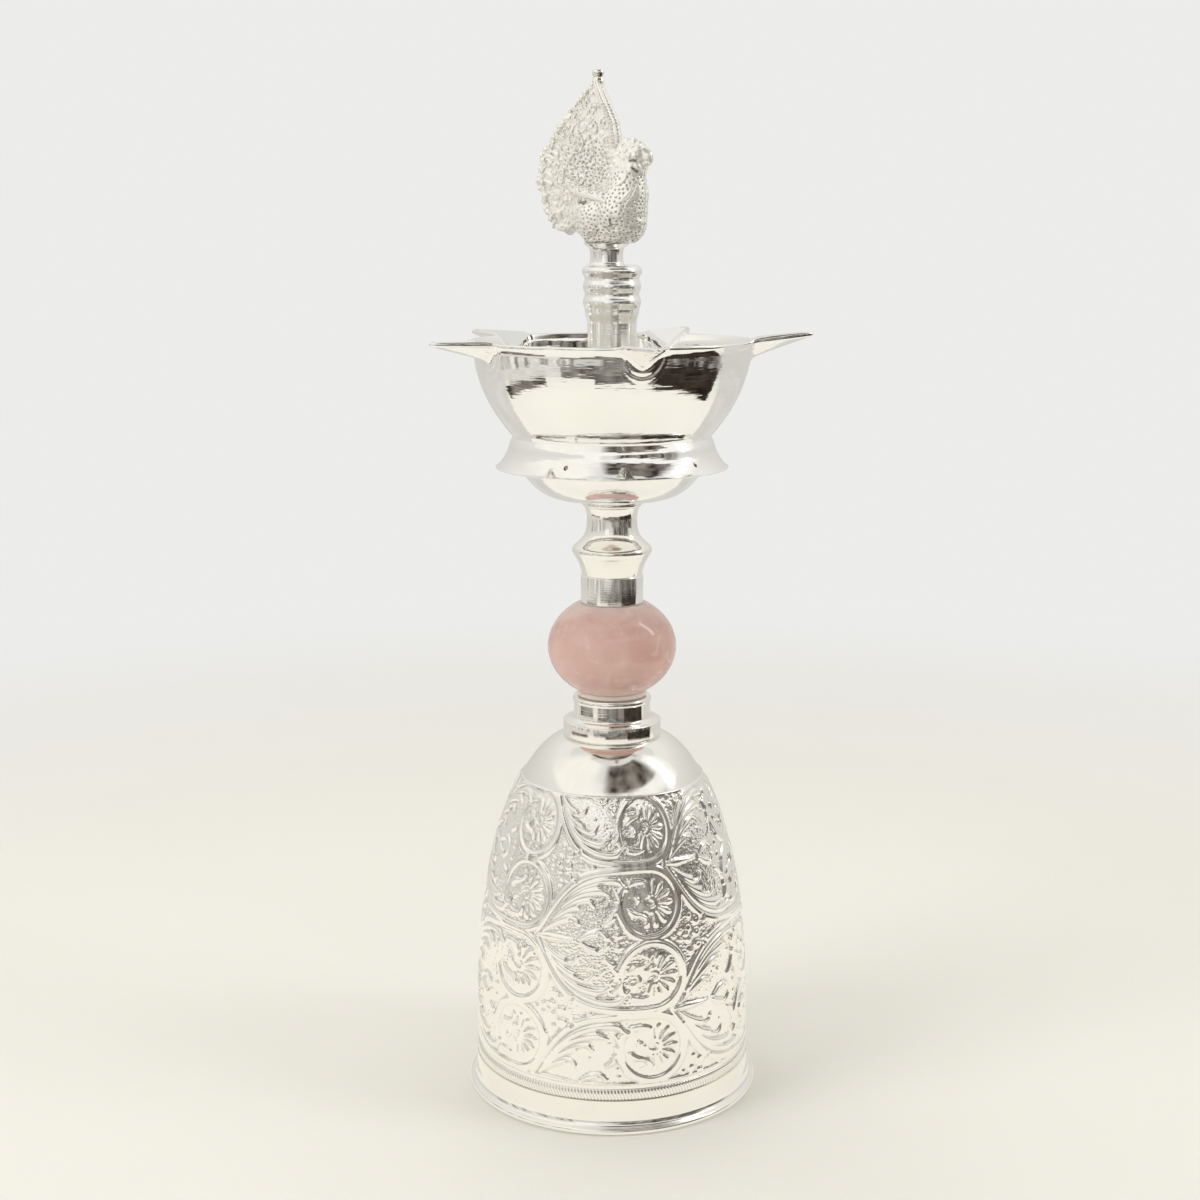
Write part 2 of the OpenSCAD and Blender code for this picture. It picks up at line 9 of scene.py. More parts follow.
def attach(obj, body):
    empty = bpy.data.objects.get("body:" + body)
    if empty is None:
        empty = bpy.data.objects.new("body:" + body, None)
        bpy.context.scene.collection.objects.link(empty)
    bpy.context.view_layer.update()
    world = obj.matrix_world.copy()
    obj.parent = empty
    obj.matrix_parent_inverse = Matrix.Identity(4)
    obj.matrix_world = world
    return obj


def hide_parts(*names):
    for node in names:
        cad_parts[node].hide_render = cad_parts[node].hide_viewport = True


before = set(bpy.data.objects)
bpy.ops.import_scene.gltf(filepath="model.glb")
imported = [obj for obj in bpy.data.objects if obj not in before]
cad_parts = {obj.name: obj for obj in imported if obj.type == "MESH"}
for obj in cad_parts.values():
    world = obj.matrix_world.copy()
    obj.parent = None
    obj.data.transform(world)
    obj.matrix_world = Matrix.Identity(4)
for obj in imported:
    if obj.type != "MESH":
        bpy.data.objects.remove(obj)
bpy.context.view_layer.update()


# Foot ring: the plain flared foot under the bell, raised from silver sheet.
# Its lower edge is turned back into a rolled rim, and its top edge is soldered to the bell.
MM = 0.001
FOOT_TOP_R, FOOT_H, FOOT_WALL_Z = 37.9, 8.6, 6.4
FOOT_RIM_R, ROLL_R = 39.2, 0.8
FOOT_INNER_TOP_R, FOOT_INNER_LOW_R = 36.0, 37.6
FOOT_FLARE, COVE_TOP = 2.2, 3.9
WARM_TONES = (0.968, 0.953, 0.912, 1), (0.925, 0.906, 0.86, 1)
CLEAN_TONES = (0.972, 0.966, 0.945, 1), (0.935, 0.927, 0.9, 1)
# Stain and painted shade: one dark colour for the marked recesses and hidden faces of the silver.
STAIN_AND_SHADE_TONE = (0.20, 0.165, 0.13, 1)
CLOUD_SCALE, LINE_SCALE, STREAK_SCALE = 90.0, 2600.0, 750.0
LINE_HEIGHT = 0.0002


def arc(centre, rx, rz, start, end, steps):
    """Points of a round or oval arc in a section, as radius and height."""
    angles = np.radians(np.linspace(start, end, steps + 1))
    return [(centre[0] + rx * math.cos(a), centre[1] + rz * math.sin(a)) for a in angles]


def mesh_piece(name, bm, finish, sharp_angle=40):
    """A finished piece at the origin: smooth faces, with hard edges past the given angle."""
    limit = math.radians(sharp_angle)
    for face in bm.faces:
        face.smooth = True
    for edge in bm.edges:
        edge.smooth = len(edge.link_faces) == 2 and edge.calc_face_angle(0) < limit
    mesh = bpy.data.meshes.new(name)
    bm.to_mesh(mesh)
    bm.free()
    mesh.materials.append(finish)
    piece = bpy.data.objects.new(name, mesh)
    bpy.context.scene.collection.objects.link(piece)
    return piece


def spun(outline, steps=256, closed=True):
    """A section of radius and height points, in millimetres, spun round the lamp's axis.
    One sector is spun, then copied round and joined, which is quicker than one long spin."""
    bm = bmesh.new()
    points = [bm.verts.new((r * MM, 0, z * MM)) for r, z in outline]
    for a, b in zip(points, points[1:]):
        bm.edges.new((a, b))
    if closed:
        bm.edges.new((points[-1], points[0]))
    sectors = next(k for k in (32, 27, 24, 16, 12, 8) if steps % k == 0)
    bmesh.ops.spin(
        bm, geom=bm.verts[:] + bm.edges[:], cent=(0, 0, 0), axis=(0, 0, 1),
        angle=2 * math.pi / sectors, steps=steps // sectors,
    )
    sector = bm.verts[:] + bm.edges[:] + bm.faces[:]
    for k in range(1, sectors):
        copied = bmesh.ops.duplicate(bm, geom=sector)["geom"]
        bmesh.ops.rotate(
            bm, verts=[v for v in copied if isinstance(v, bmesh.types.BMVert)], cent=(0, 0, 0),
            matrix=Matrix.Rotation(2 * math.pi * k / sectors, 3, "Z"),
        )
    bmesh.ops.remove_doubles(bm, verts=bm.verts, dist=1e-6)
    bmesh.ops.recalc_face_normals(bm, faces=bm.faces)
    return bm


def fit_on(piece, body, slot, *nodes):
    """The piece rides on its body and stands for its CAD nodes, which are hidden. The slot is not used."""
    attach(piece, body)
    if nodes:
        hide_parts(*nodes)


def turning(name, outline, finish, body, slot, node, sharp_angle=40, steps=256, closed=True, at=(0, 0, 0)):
    """A plain turning: spun from its outline, set in its place and fitted instead of its CAD node."""
    bm = spun(outline, steps, closed)
    bmesh.ops.translate(bm, verts=bm.verts, vec=Vector(at) * MM)
    fit_on(mesh_piece(name, bm, finish, sharp_angle), body, slot, node)


def feed(tree, node, inputs):
    """Sets each input of a shader node, or links it to the output that feeds it."""
    for key, value in inputs.items():
        if isinstance(value, bpy.types.NodeSocket):
            tree.links.new(value, node.inputs[key])
        else:
            node.inputs[key].default_value = value


def add(tree, kind, inputs=None, output=0, **settings):
    """A shader node with its settings and inputs. Gives the output asked for, or all of them."""
    node = tree.nodes.new("ShaderNode" + kind)
    for key, value in settings.items():
        setattr(node, key, value)
    feed(tree, node, inputs or {})
    return node.outputs if output is None else node.outputs[output]


def blend(tree, share, low, high):
    """A colour between two others."""
    return add(tree, "Mix", {0: share, 6: low, 7: high}, 2, data_type="RGBA")


def ranged(tree, value, low, high, to_low, to_high):
    """A value carried over from one range to another, and kept inside it."""
    return add(tree, "MapRange", {0: value, 1: low, 2: high, 3: to_low, 4: to_high})


def new_material(name):
    """An empty node material, with its Principled shader and its object coordinates."""
    material = bpy.data.materials.new(name)
    material.use_nodes = True
    tree = material.node_tree
    return material, tree, tree.nodes["Principled BSDF"], add(tree, "TexCoord", output="Object")


# The polish on all the silver: soft clouds from the cloth, and fine turning lines round the axis.
polish = bpy.data.node_groups.new("hand_polish", "ShaderNodeTree")
polish.interface.new_socket("Coordinates", in_out="INPUT", socket_type="NodeSocketVector")
polish.interface.new_socket("Cloud Scale", in_out="INPUT", socket_type="NodeSocketFloat")
for label in ("Cloud", "Smear", "Lines", "Streaks"):
    polish.interface.new_socket(label, in_out="OUTPUT", socket_type="NodeSocketFloat")
place, cloud_scale = polish.nodes.new("NodeGroupInput").outputs[:2]
smear_scale = add(polish, "Math", {0: cloud_scale, 1: 5.0}, operation="MULTIPLY")
drawn_far = add(polish, "VectorMath", {0: place, 1: (0.01, 0.01, 1.0)}, operation="MULTIPLY")
drawn_out = add(polish, "VectorMath", {0: place, 1: (0.14, 0.14, 1.0)}, operation="MULTIPLY")
feed(polish, polish.nodes.new("NodeGroupOutput"), {
    "Cloud": add(polish, "TexNoise", {"Vector": place, "Scale": cloud_scale, "Detail": 3.0}),
    "Smear": add(polish, "TexNoise", {"Vector": place, "Scale": smear_scale, "Detail": 5.0}),
    "Lines": add(polish, "TexNoise", {"Vector": drawn_far, "Scale": LINE_SCALE, "Detail": 2.0}),
    "Streaks": add(polish, "TexNoise", {"Vector": drawn_out, "Scale": STREAK_SCALE, "Detail": 2.0}),
})


def silver_base(name, dull, dull_more, tones, stain_and_shade_most, stain_dull, cloud_scale=CLOUD_SCALE, metal=1.0):
    """Silver with clouds in its tone and smears in its gloss.
    With a stain amount, it is darkened where the mesh marks it: stain and painted shade in its recesses."""
    material, tree, shader, place = new_material(name)
    wear = add(tree, "Group", {"Coordinates": place, "Cloud Scale": cloud_scale}, None, node_tree=polish)
    tone = blend(tree, wear["Cloud"], tones[1], tones[0])
    gloss = ranged(tree, wear["Smear"], 0.3, 0.75, dull, dull_more)
    if stain_and_shade_most:
        # The marked share darkens the tone and dulls the gloss: stain and painted shade.
        marked = add(tree, "Attribute", None, "Fac", attribute_name="stain_and_shade")
        stain_and_shade_share = ranged(tree, marked, 0.2, 1.0, 0.0, stain_and_shade_most)
        tone = blend(tree, stain_and_shade_share, tone, STAIN_AND_SHADE_TONE)
        gloss = add(tree, "Math", {0: stain_and_shade_share, 1: stain_dull, 2: gloss}, operation="MULTIPLY_ADD")
    feed(tree, shader, {"Base Color": tone, "Roughness": gloss, "Metallic": metal})
    return material, tree, shader, place, wear


def silver(name, dull=0.06, dull_more=0.16, line_depth=0.02, streak_depth=0.0, tones=WARM_TONES, stain_and_shade_most=0.0):
    """Polished silver with fine lines and drawn-out streaks round the axis."""
    material, tree, shader, _, wear = silver_base(name, dull, dull_more, tones, stain_and_shade_most, 0.4)
    bump = add(tree, "Bump", {"Height": wear["Lines"], "Strength": line_depth, "Distance": LINE_HEIGHT})
    if streak_depth:
        streaks = {"Height": wear["Streaks"], "Strength": streak_depth, "Distance": LINE_HEIGHT, "Normal": bump}
        bump = add(tree, "Bump", streaks)
    feed(tree, shader, {"Normal": bump})
    return material


turned_silver = silver("polished_silver_turned")
foot_outline = (
    [(FOOT_TOP_R, FOOT_H), (FOOT_TOP_R + 0.02, FOOT_WALL_Z)]
    + arc((FOOT_RIM_R, COVE_TOP), FOOT_RIM_R - FOOT_TOP_R, COVE_TOP - 2 * ROLL_R, 180, 262, 20)
    + arc((FOOT_RIM_R, ROLL_R), ROLL_R, ROLL_R, 90, -90, 16)
    + [
        (FOOT_INNER_TOP_R + (FOOT_INNER_LOW_R - FOOT_INNER_TOP_R) * t ** FOOT_FLARE, FOOT_H * (1 - t))
        for t in np.linspace(0, 1, 25)[::-1]
    ]
)
turning("foot_ring_rolled", foot_outline, turned_silver, "stand", "polished_silver", "foot_ring", steps=320)


# Border wire: two fine silver wires twisted together and soldered round the foot of the bell.
# The twist shows as slanting ridges all round, flattened against the wall behind.
BELL_R, WALL_Z = 37.2, 11.8
WIRE_PROUD, WIRE_HALF = 0.7, 1.6
TWISTS, COLUMNS_A_TWIST = 264, 6
TWIST_DEPTH, TWIST_LEAN = 0.34, 0.6
STIPPLE_SCALE, STIPPLE_DEPTH = 1250.0, 0.0004


def coordinates(mesh):
    """The mesh's points as rows of x, y and z, in millimetres."""
    points = np.empty(len(mesh.vertices) * 3)
    mesh.vertices.foreach_get("co", points)
    return points.reshape(-1, 3) / MM


def round_axis(points):
    """Each point's distance from the lamp's axis, and its angle round it from the front."""
    return np.hypot(points[:, 0], points[:, 1]), np.arctan2(points[:, 0], -points[:, 1])


def set_coordinates(mesh, points):
    """Moves the mesh's points to the given places, in millimetres."""
    mesh.vertices.foreach_set("co", (points * MM).ravel())
    mesh.update()


def worked_silver(name, dull, dull_more, stain_and_shade_most, metal=1.0):
    """Worked silver: stain and painted shade in its recesses, with punched dots where the mesh is marked as stipple."""
    material, tree, shader, place, _ = silver_base(name, dull, dull_more, WARM_TONES, stain_and_shade_most, 0.25, 70.0, metal)
    punch = add(tree, "TexVoronoi", {"Vector": place, "Scale": STIPPLE_SCALE})
    stipple = add(tree, "Attribute", None, "Fac", attribute_name="stipple")
    pits = add(tree, "Math", {0: punch, 1: stipple}, operation="MULTIPLY")
    feed(tree, shader, {"Normal": add(tree, "Bump", {"Height": pits, "Strength": 0.3, "Distance": STIPPLE_DEPTH})})
    return material


def mark(piece, label, values):
    """Keeps one number for each point of a piece, for its finish to read."""
    piece.data.attributes.new(label, "FLOAT", "POINT").data.foreach_set("value", np.asarray(values, np.float32))


wire_outline = arc((BELL_R, FOOT_H + WIRE_HALF), WIRE_PROUD, WIRE_HALF, -90, 90, 14)
wire_bm = spun(wire_outline, TWISTS * COLUMNS_A_TWIST)
wire = mesh_piece("border_wire_twisted", wire_bm, worked_silver("twisted_wire_silver", 0.1, 0.2, 0.22))
points = coordinates(wire.data)
radius, angle = round_axis(points)
above = (points[:, 2] - FOOT_H - WIRE_HALF) / WIRE_HALF
ridge = np.abs(np.cos((angle * TWISTS + above * TWIST_LEAN * math.pi * 2) / 2)) ** 0.7
depth = TWIST_DEPTH * (ridge - 1) * np.clip((radius - BELL_R) / WIRE_PROUD, 0, 1)
points[:, :2] *= (1 + depth / radius)[:, None]
set_coordinates(wire.data, points)
# The hollows between the twists are darkened: stain and painted shade.
mark(wire, "stain_and_shade", np.clip(1.3 - 1.3 * ridge ** 2, 0, 0.8) * (radius > BELL_R + 0.1))
fit_on(wire, "stand", "polished_silver", "border_wire")


# Bell: raised from one silver sheet, open underneath, its sides chased with scrolls and rosettes.
# The plain crown and the inside are one shell; the chased side lies on it in three full rings.
BELL_TOP_Z, CROWN_R, BELL_SHEET = 98.7, 13.5, 1.2
ROD_HOLE_R = 3.25
FULLNESS, ROUNDING = 2.6, 0.62
CHASED_LOW, CHASED_HIGH = 0.9, 78.2
CHASED_COLUMNS, UNIT_COLUMNS, CHASED_ROWS = 810, 270, 324
RINGS, RING_SHEET, LAP, LAP_ROWS = 3, 0.6, 0.005, 2
FIRST_CUSP, MIDDLE_ROW, HALF_DROP = -35.1, 40.25, 19.35
SCROLL_R, SCROLL_AT, HOOK_R = 9.15, (33.7, 9.6), 5.4
EDGE_FADE, BEADING_RISE, BEADING_AT, BEADING_HALF = 1.2, 0.4, 0.55, 0.35


def bell_side(low_r, top_z, steps):
    """The outline of the bell's side, from the foot to the crown."""
    t = np.sin(np.linspace(0, math.pi / 2, steps))
    r = CROWN_R + (low_r - CROWN_R) * (1 - t ** FULLNESS) ** ROUNDING
    return np.column_stack([r, WALL_Z + (top_z - WALL_Z) * t])


side = bell_side(BELL_R, BELL_TOP_Z, 2000)
along = np.concatenate([[0], np.cumsum(np.hypot(*np.diff(side, axis=0).T))])
slope = np.gradient(side, along, axis=0)
outward = np.column_stack([slope[:, 1], -slope[:, 0]])


def on_side(s, out_by=0.0):
    """Point of the bell's outer side at a length up the wall, moved square to it."""
    at = np.column_stack([np.interp(s, along, side[:, i]) for i in (0, 1)])
    square = np.column_stack([np.interp(s, along, outward[:, i]) for i in (0, 1)])
    return at + square * np.reshape(out_by, (-1, 1)), square


recess = on_side(np.linspace(CHASED_LOW, CHASED_HIGH, 60), -RING_SHEET - 0.1)[0]
crown_side = on_side(np.linspace(CHASED_HIGH, along[-1], 90))[0]
shell_outline = (
    [(BELL_R, FOOT_H), *on_side([CHASED_LOW])[0], *recess, *crown_side]
    + [(ROD_HOLE_R, BELL_TOP_Z), (ROD_HOLE_R, BELL_TOP_Z - BELL_SHEET)]
    + [*bell_side(BELL_R - BELL_SHEET, BELL_TOP_Z - BELL_SHEET, 60)[::-1], (BELL_R - BELL_SHEET, FOOT_H)]
)
turning("bell_shell", shell_outline, turned_silver, "stand", "chased_silver", "base_bell")


def cubic(a, handle_a, handle_b, b, steps):
    """A curve between two points, drawn towards their handles."""
    t = np.linspace(0, 1, steps)[:, None]
    a, handle_a, handle_b, b = (np.array(p) for p in (a, handle_a, handle_b, b))
    return (1 - t) ** 3 * a + 3 * (1 - t) ** 2 * t * handle_a + 3 * (1 - t) * t ** 2 * handle_b + t ** 3 * b


def coiled(centre, radius, start, end, steps):
    """A line turned round a centre, with one radius or one for each of its points."""
    turn = np.radians(np.linspace(start, end, steps))
    return np.column_stack([centre[0] + radius * np.cos(turn), centre[1] + radius * np.sin(turn)])


def smooth_path(points, steps=12):
    """A smooth line through a few points."""
    p = np.array([points[0], *points, points[-1]], float)
    parts = []
    for a, b, c, d in zip(p, p[1:], p[2:], p[3:]):
        parts.append(cubic(b, b + (c - a) / 6, c - (d - b) / 6, c, steps)[:-1])
    return np.vstack(parts + [p[-1:]])


def band_share(x, y, path, widths):
    """Which points lie near a path, and how far off it they are as a share of its half-width."""
    half = np.interp(np.linspace(0, 1, len(path)), np.linspace(0, 1, len(widths)), widths)
    low, high = path.min(0) - half.max(), path.max(0) + half.max()
    near = np.flatnonzero((x > low[0]) & (x < high[0]) & (y > low[1]) & (y < high[1]))
    share = np.full(len(near), 9.0)
    for (px, py), w in zip(path, half):
        share = np.minimum(share, np.hypot(x[near] - px, y[near] - py) / w)
    return near, share


def raise_stroke(height, x, y, path, widths, rise, groove=0.0):
    """Raises a rounded band along a path, with its half-widths given from end to end."""
    near, share = band_share(x, y, path, widths)
    band = rise * np.clip(1 - share ** 2, 0, None) * (1 - groove * np.exp(-((share / 0.36) ** 2)))
    height[near] = np.maximum(height[near], band)


def sink_stroke(height, x, y, path, widths, depth):
    """Punches a smooth hollow along a path, down into whatever is there."""
    near, share = band_share(x, y, path, widths)
    height[near] -= (depth + 0.8 * np.maximum(height[near], 0)) * np.clip(1 - share ** 2, 0, None) ** 0.7


def raise_boss(height, x, y, centre, radius, rise, dimple=0.0):
    """Raises a round boss, with a dimple in its middle if one is wanted."""
    share = np.hypot(x - centre[0], y - centre[1]) / radius
    boss = rise * np.clip(1 - share ** 2, 0, None) * (1 - dimple * np.exp(-((share / 0.45) ** 2)))
    np.maximum(height, boss, out=height)


# The leaf sprays of one scroll, in millimetres from its cusp: a line of points, and half-widths along it.
LEAF_BANDS = [
    ([(4, 4.2), (8.5, 10), (13, 13.6), (18, 15.6), (23, 16.1), (26, 15), (26.9, 13.3)], (0.3, 0.7, 1.0, 1.2, 1.1, 0.4)),
    (
        [(3.5, 3.1), (8.5, 8.8), (13, 12), (18, 13.4), (22, 13.2), (24.6, 11.6), (24.8, 9.9)],
        (0.3, 0.7, 1.1, 1.4, 1.2, 0.4),
    ),
    ([(3, 2.1), (7.5, 6.5), (12, 9.2), (16, 9.9), (18.8, 8.8), (19.4, 7.0)], (0.3, 0.8, 1.3, 1.5, 1.1, 0.4)),
    ([(2.5, 1.2), (6, 3.9), (9.5, 5.6), (12, 5.4), (13.2, 4.2)], (0.3, 0.8, 1.2, 1.0, 0.4)),
    ([(0.8, 0), (4, 0.2), (8, 0), (12.2, 0)], (0.4, 0.9, 0.9, 0.3)),
    ([(14, 0.4), (16.6, 1.9), (19.4, 2.2), (21.4, 0.9)], (0.4, 1.0, 1.1, 0.4)),
    ([(11.8, HALF_DROP), (13.9, HALF_DROP), (17.2, HALF_DROP)], (0.8, 1.5, 0.4)),
    ([(27.8, 7.9), (30.3, 6.2), (33.2, 5.9)], (0.5, 1.45, 0.5)),
    ([(27.4, 8.6), (28.9, 10.1), (31, 11.6)], (0.5, 1.4, 0.5)),
    ([(20.8, 4.6), (22.9, 6.3), (23.6, 8.4)], (0.4, 1.0, 0.3)),
]
# The hollows punched between them: a line, half-widths and a depth.
HOLLOWS = [
    ([(13.2, 9.1), (15.4, 8.9), (17.2, 8.2)], (0.4, 1.5, 0.5), 0.5),
    ([(17.4, 10.6), (18.6, 9.0), (19.4, 6.8)], (0.4, 1.0, 0.4), 0.5),
    ([(19.0, 14.8), (21.9, 13.6), (24.0, 10.8)], (0.35, 1.15, 0.4), 0.5),
    ([(25.2, 17.0), (26.2, 15.8), (27.2, 14.6)], (0.4, 0.95, 0.4), 0.5),
    ([(11.6, HALF_DROP), (13.7, HALF_DROP), (15.8, HALF_DROP)], (0.5, 1.2, 0.5), 0.5),
    ([(10.9, 17.4), (11.8, 16.4), (12.2, 15.4)], (0.35, 0.7, 0.35), 0.45),
    ([(28.9, 5.6), (30.2, 5.3), (31.5, 5.4)], (0.7, 1.2, 0.6), 0.5),
    ([(27.2, 9.3), (28.1, 9.9), (29.0, 10.6)], (0.8, 1.5, 0.7), 0.5),
    ([(29.2, 14.0), (30.4, 12.7), (31.4, 10.8)], (0.4, 1.1, 0.45), 0.5),
    ([(32.0, 7.2), (33.2, 6.2), (33.8, 4.8)], (0.3, 0.65, 0.3), 0.45),
    ([(10.6, 5.3), (11.8, 5.0)], (0.7, 0.75), 0.45),
    ([(9.6, 3.6), (10.6, 3.7)], (0.4, 0.45), 0.4),
    ([(18.9, 2.2), (19.6, 1.4), (20.4, 1.0)], (0.4, 0.8, 0.4), 0.45),
    ([(20.6, 3.2), (22.2, 3.5), (24.0, 3.4)], (0.25, 0.55, 0.25), 0.45),
    ([(23.6, 6.8), (24.3, 5.2), (25.6, 3.4)], (0.3, 0.6, 0.3), 0.4),
    ([(33.0, 10.2), (34.0, 9.6)], (0.8, 0.8), 0.45),
]
# The berries: a centre, a radius, a rise and the share of it that a dimple takes.
BERRIES = [
    ((9.2, 16.1), 1.65, 0.75, 0.55), ((6.9, 14.6), 1.0, 0.6, 0.5), ((9.0, HALF_DROP), 1.5, 0.75, 0.55),
    ((6.2, 17.9), 1.2, 0.65, 0.5), ((5.6, HALF_DROP), 0.9, 0.6, 0), ((3.6, 18.2), 0.8, 0.5, 0),
    ((1.6, HALF_DROP), 0.7, 0.5, 0), ((12.6, 17.0), 0.6, 0.5, 0), ((24.4, 1.6), 1.0, 0.6, 0.5),
    ((21.9, 11.1), 0.6, 0.4, 0), ((16.6, 6.9), 0.6, 0.4, 0), ((24.2, 4.2), 0.7, 0.5, 0),
]
PETALS, PETAL_SPREAD, ROSETTE_SHIFT = 9, 108, 0.6
LEAF_RISE, STEM_RISE, PETAL_RISE, PETAL_GAP = 0.75, 0.8, 0.65, 0.26


def chase_scroll(height, x, y):
    """One scroll of the pattern, from its cusp at 0, 0: stem, ring, leaf spray and rosette."""
    cx, cy = SCROLL_AT
    inside = np.hypot(x - cx, y - cy) / SCROLL_R
    np.maximum(height, 0.25 * np.clip(1 - inside ** 2, 0, None), out=height)
    for path, widths in LEAF_BANDS:
        raise_stroke(height, x, y, smooth_path(path), widths, LEAF_RISE, 0.12)
    stem = np.vstack([
        cubic((0, 0.3), (5, 5.5), (7, 17.2), (20.5, 18.2), 70)[:-1],
        cubic((20.5, 18.2), (25.5, 18.8), (30, 18.95), (cx, cy + SCROLL_R), 24)[:-1],
    ])
    ring = coiled(SCROLL_AT, SCROLL_R, 90, -205, 150)
    hook = coiled(SCROLL_AT, np.linspace(SCROLL_R, HOOK_R, 40), -205, -262, 40)
    raise_stroke(height, x, y, np.vstack([stem, ring]), (0.5, 1.0, 1.2, 1.25, 1.25, 1.2, 1.1), STEM_RISE, 0.4)
    raise_stroke(height, x, y, hook, (1.0, 0.9, 0.4), 0.7, 0.4)
    petal_turns = np.linspace(-PETAL_SPREAD, PETAL_SPREAD, PETALS)
    rosette = (cx + ROSETTE_SHIFT, cy)
    for petal in np.radians(petal_turns):
        reach = np.linspace(2.3, 6.0, 12)[:, None] * np.array([[math.cos(petal), math.sin(petal)]])
        raise_stroke(height, x, y, reach + rosette, (0.5, 0.8, 0.95, 0.55), PETAL_RISE, 0.3)
    for between in np.radians(petal_turns[:-1] + PETAL_SPREAD / (PETALS - 1)):
        reach = np.linspace(2.6, 5.2, 8)[:, None] * np.array([[math.cos(between), math.sin(between)]])
        sink_stroke(height, x, y, reach + rosette, (0.25, 0.5, 0.45, 0.2), PETAL_GAP)
    for centre, radius_mm, rise, dimple in BERRIES + [(rosette, 1.5, 0.85, 0.7)]:
        raise_boss(height, x, y, centre, radius_mm, rise, dimple)
    for path, widths, depth in HOLLOWS:
        sink_stroke(height, x, y, smooth_path(path), widths, depth)


step_mm = 2 * math.pi * BELL_R / CHASED_COLUMNS
unit_mm = UNIT_COLUMNS * step_mm
row_s = np.linspace(CHASED_LOW, CHASED_HIGH, CHASED_ROWS + 1)
grid_x, grid_s = np.meshgrid(np.arange(UNIT_COLUMNS) * step_mm, row_s)
grid_x, grid_s = grid_x.ravel(), grid_s.ravel()
raised, sunk = np.zeros(len(grid_x)), np.zeros(len(grid_x))
for cusp, middle in (
    (0, MIDDLE_ROW - 2 * HALF_DROP), (0, MIDDLE_ROW), (0, MIDDLE_ROW + 2 * HALF_DROP),
    (unit_mm / 2, MIDDLE_ROW - HALF_DROP), (unit_mm / 2, MIDDLE_ROW + HALF_DROP),
):
    local_x = (grid_x - cusp + 12) % unit_mm - 12
    for way in (1, -1):
        local_y = (grid_s - middle) * way
        part = np.flatnonzero((local_y > -2.5) & (local_y < HALF_DROP + 2.5))
        scroll = np.zeros(len(part))
        chase_scroll(scroll, local_x[part], local_y[part])
        raised[part] = np.maximum(raised[part], scroll)
        sunk[part] = np.minimum(sunk[part], scroll)
relief = np.where(sunk < -0.02, sunk, raised)
relief = relief.reshape(CHASED_ROWS + 1, UNIT_COLUMNS)


def softened(field, passes):
    """The field averaged with its neighbours, round the unit and up the wall."""
    for _ in range(passes):
        field = (np.roll(field, 1, 1) + 2 * field + np.roll(field, -1, 1)) / 4
        rows = np.pad(field, ((1, 1), (0, 0)), "edge")
        field = (rows[:-2] + 2 * rows[1:-1] + rows[2:]) / 4
    return field


relief = softened(relief, 1)
from_edge = np.minimum(row_s - CHASED_LOW, CHASED_HIGH - row_s)[:, None]
edge_fade = np.clip(from_edge / EDGE_FADE, 0, 1)
beading = BEADING_RISE * np.exp(-((from_edge - BEADING_AT) / BEADING_HALF) ** 2)
relief = np.maximum(relief * edge_fade, beading)
# Grooves and sunk hollows of the relief are marked to be darkened: stain and painted shade.
lines = np.clip((softened(relief, 12) - relief) / 0.45, 0, 0.6)
stain_and_shade = np.maximum(lines, np.clip((-0.05 - relief) / 0.28, 0, 1))
stippled = np.clip(1 - np.abs(relief) / 0.15, 0, 1)

chased_silver = worked_silver("chased_silver", 0.06, 0.13, 0.95, 0.91)
ring_rows = CHASED_ROWS // RINGS
for number in range(RINGS):
    first, last = number * ring_rows, (number + 1) * ring_rows
    low_lap, high_lap = LAP_ROWS * (number > 0), LAP_ROWS * (number < RINGS - 1)
    rows = np.arange(first - low_lap, last + high_lap + 1)
    face_points, square = on_side(row_s[rows])
    back_points = on_side(row_s[rows[[-1, 0]]], -RING_SHEET)[0]
    ring_bm = spun(np.vstack([face_points, back_points]), CHASED_COLUMNS)
    chased = mesh_piece("bell_chasing_%d" % (number + 1), ring_bm, chased_silver, 75)
    points = coordinates(chased.data)
    radius, angle = round_axis(points)
    turn = np.degrees(angle) - FIRST_CUSP
    column = np.rint(turn * CHASED_COLUMNS / 360).astype(int) % UNIT_COLUMNS
    nearest = np.abs(points[:, 2][:, None] - face_points[:, 1]).argmin(1)
    on_face = np.abs(radius - face_points[nearest, 0]) < 0.05
    row = rows[nearest]
    lift = relief[row, column] - LAP * ((row < first) | (row > last))
    moved = np.where(on_face, lift, 0)[:, None] * square[nearest]
    points[:, :2] *= (1 + moved[:, 0] / radius)[:, None]
    points[:, 2] += moved[:, 1]
    set_coordinates(chased.data, points)
    for label, field in (("stain_and_shade", stain_and_shade), ("stipple", stippled)):
        mark(chased, label, np.where(on_face, field[row, column], 0))
    fit_on(chased, "stand", "chased_silver")


# Tie rod, clamp washer and nut: plain steel, inside the bell and the stem.
# The rod is cut with a thread at both ends; its nut draws bell, collar, bead and stem together.
ROD_R, THREAD_ROOT_R, PITCH, THREAD_STEPS = 3.0, 2.62, 1.0, 32
ROD_EDGE, RUN_OUT = 0.3, 0.4
ROD_LOW, LOW_THREAD_END, HIGH_THREAD_START, ROD_HIGH = 89.0, 97.0, 163.0, 171.6
STEEL_TONES = (0.56, 0.55, 0.53, 1), (0.36, 0.35, 0.34, 1)
plain_steel = silver("plain_steel", 0.28, 0.45, 0.08, 0.0, STEEL_TONES)


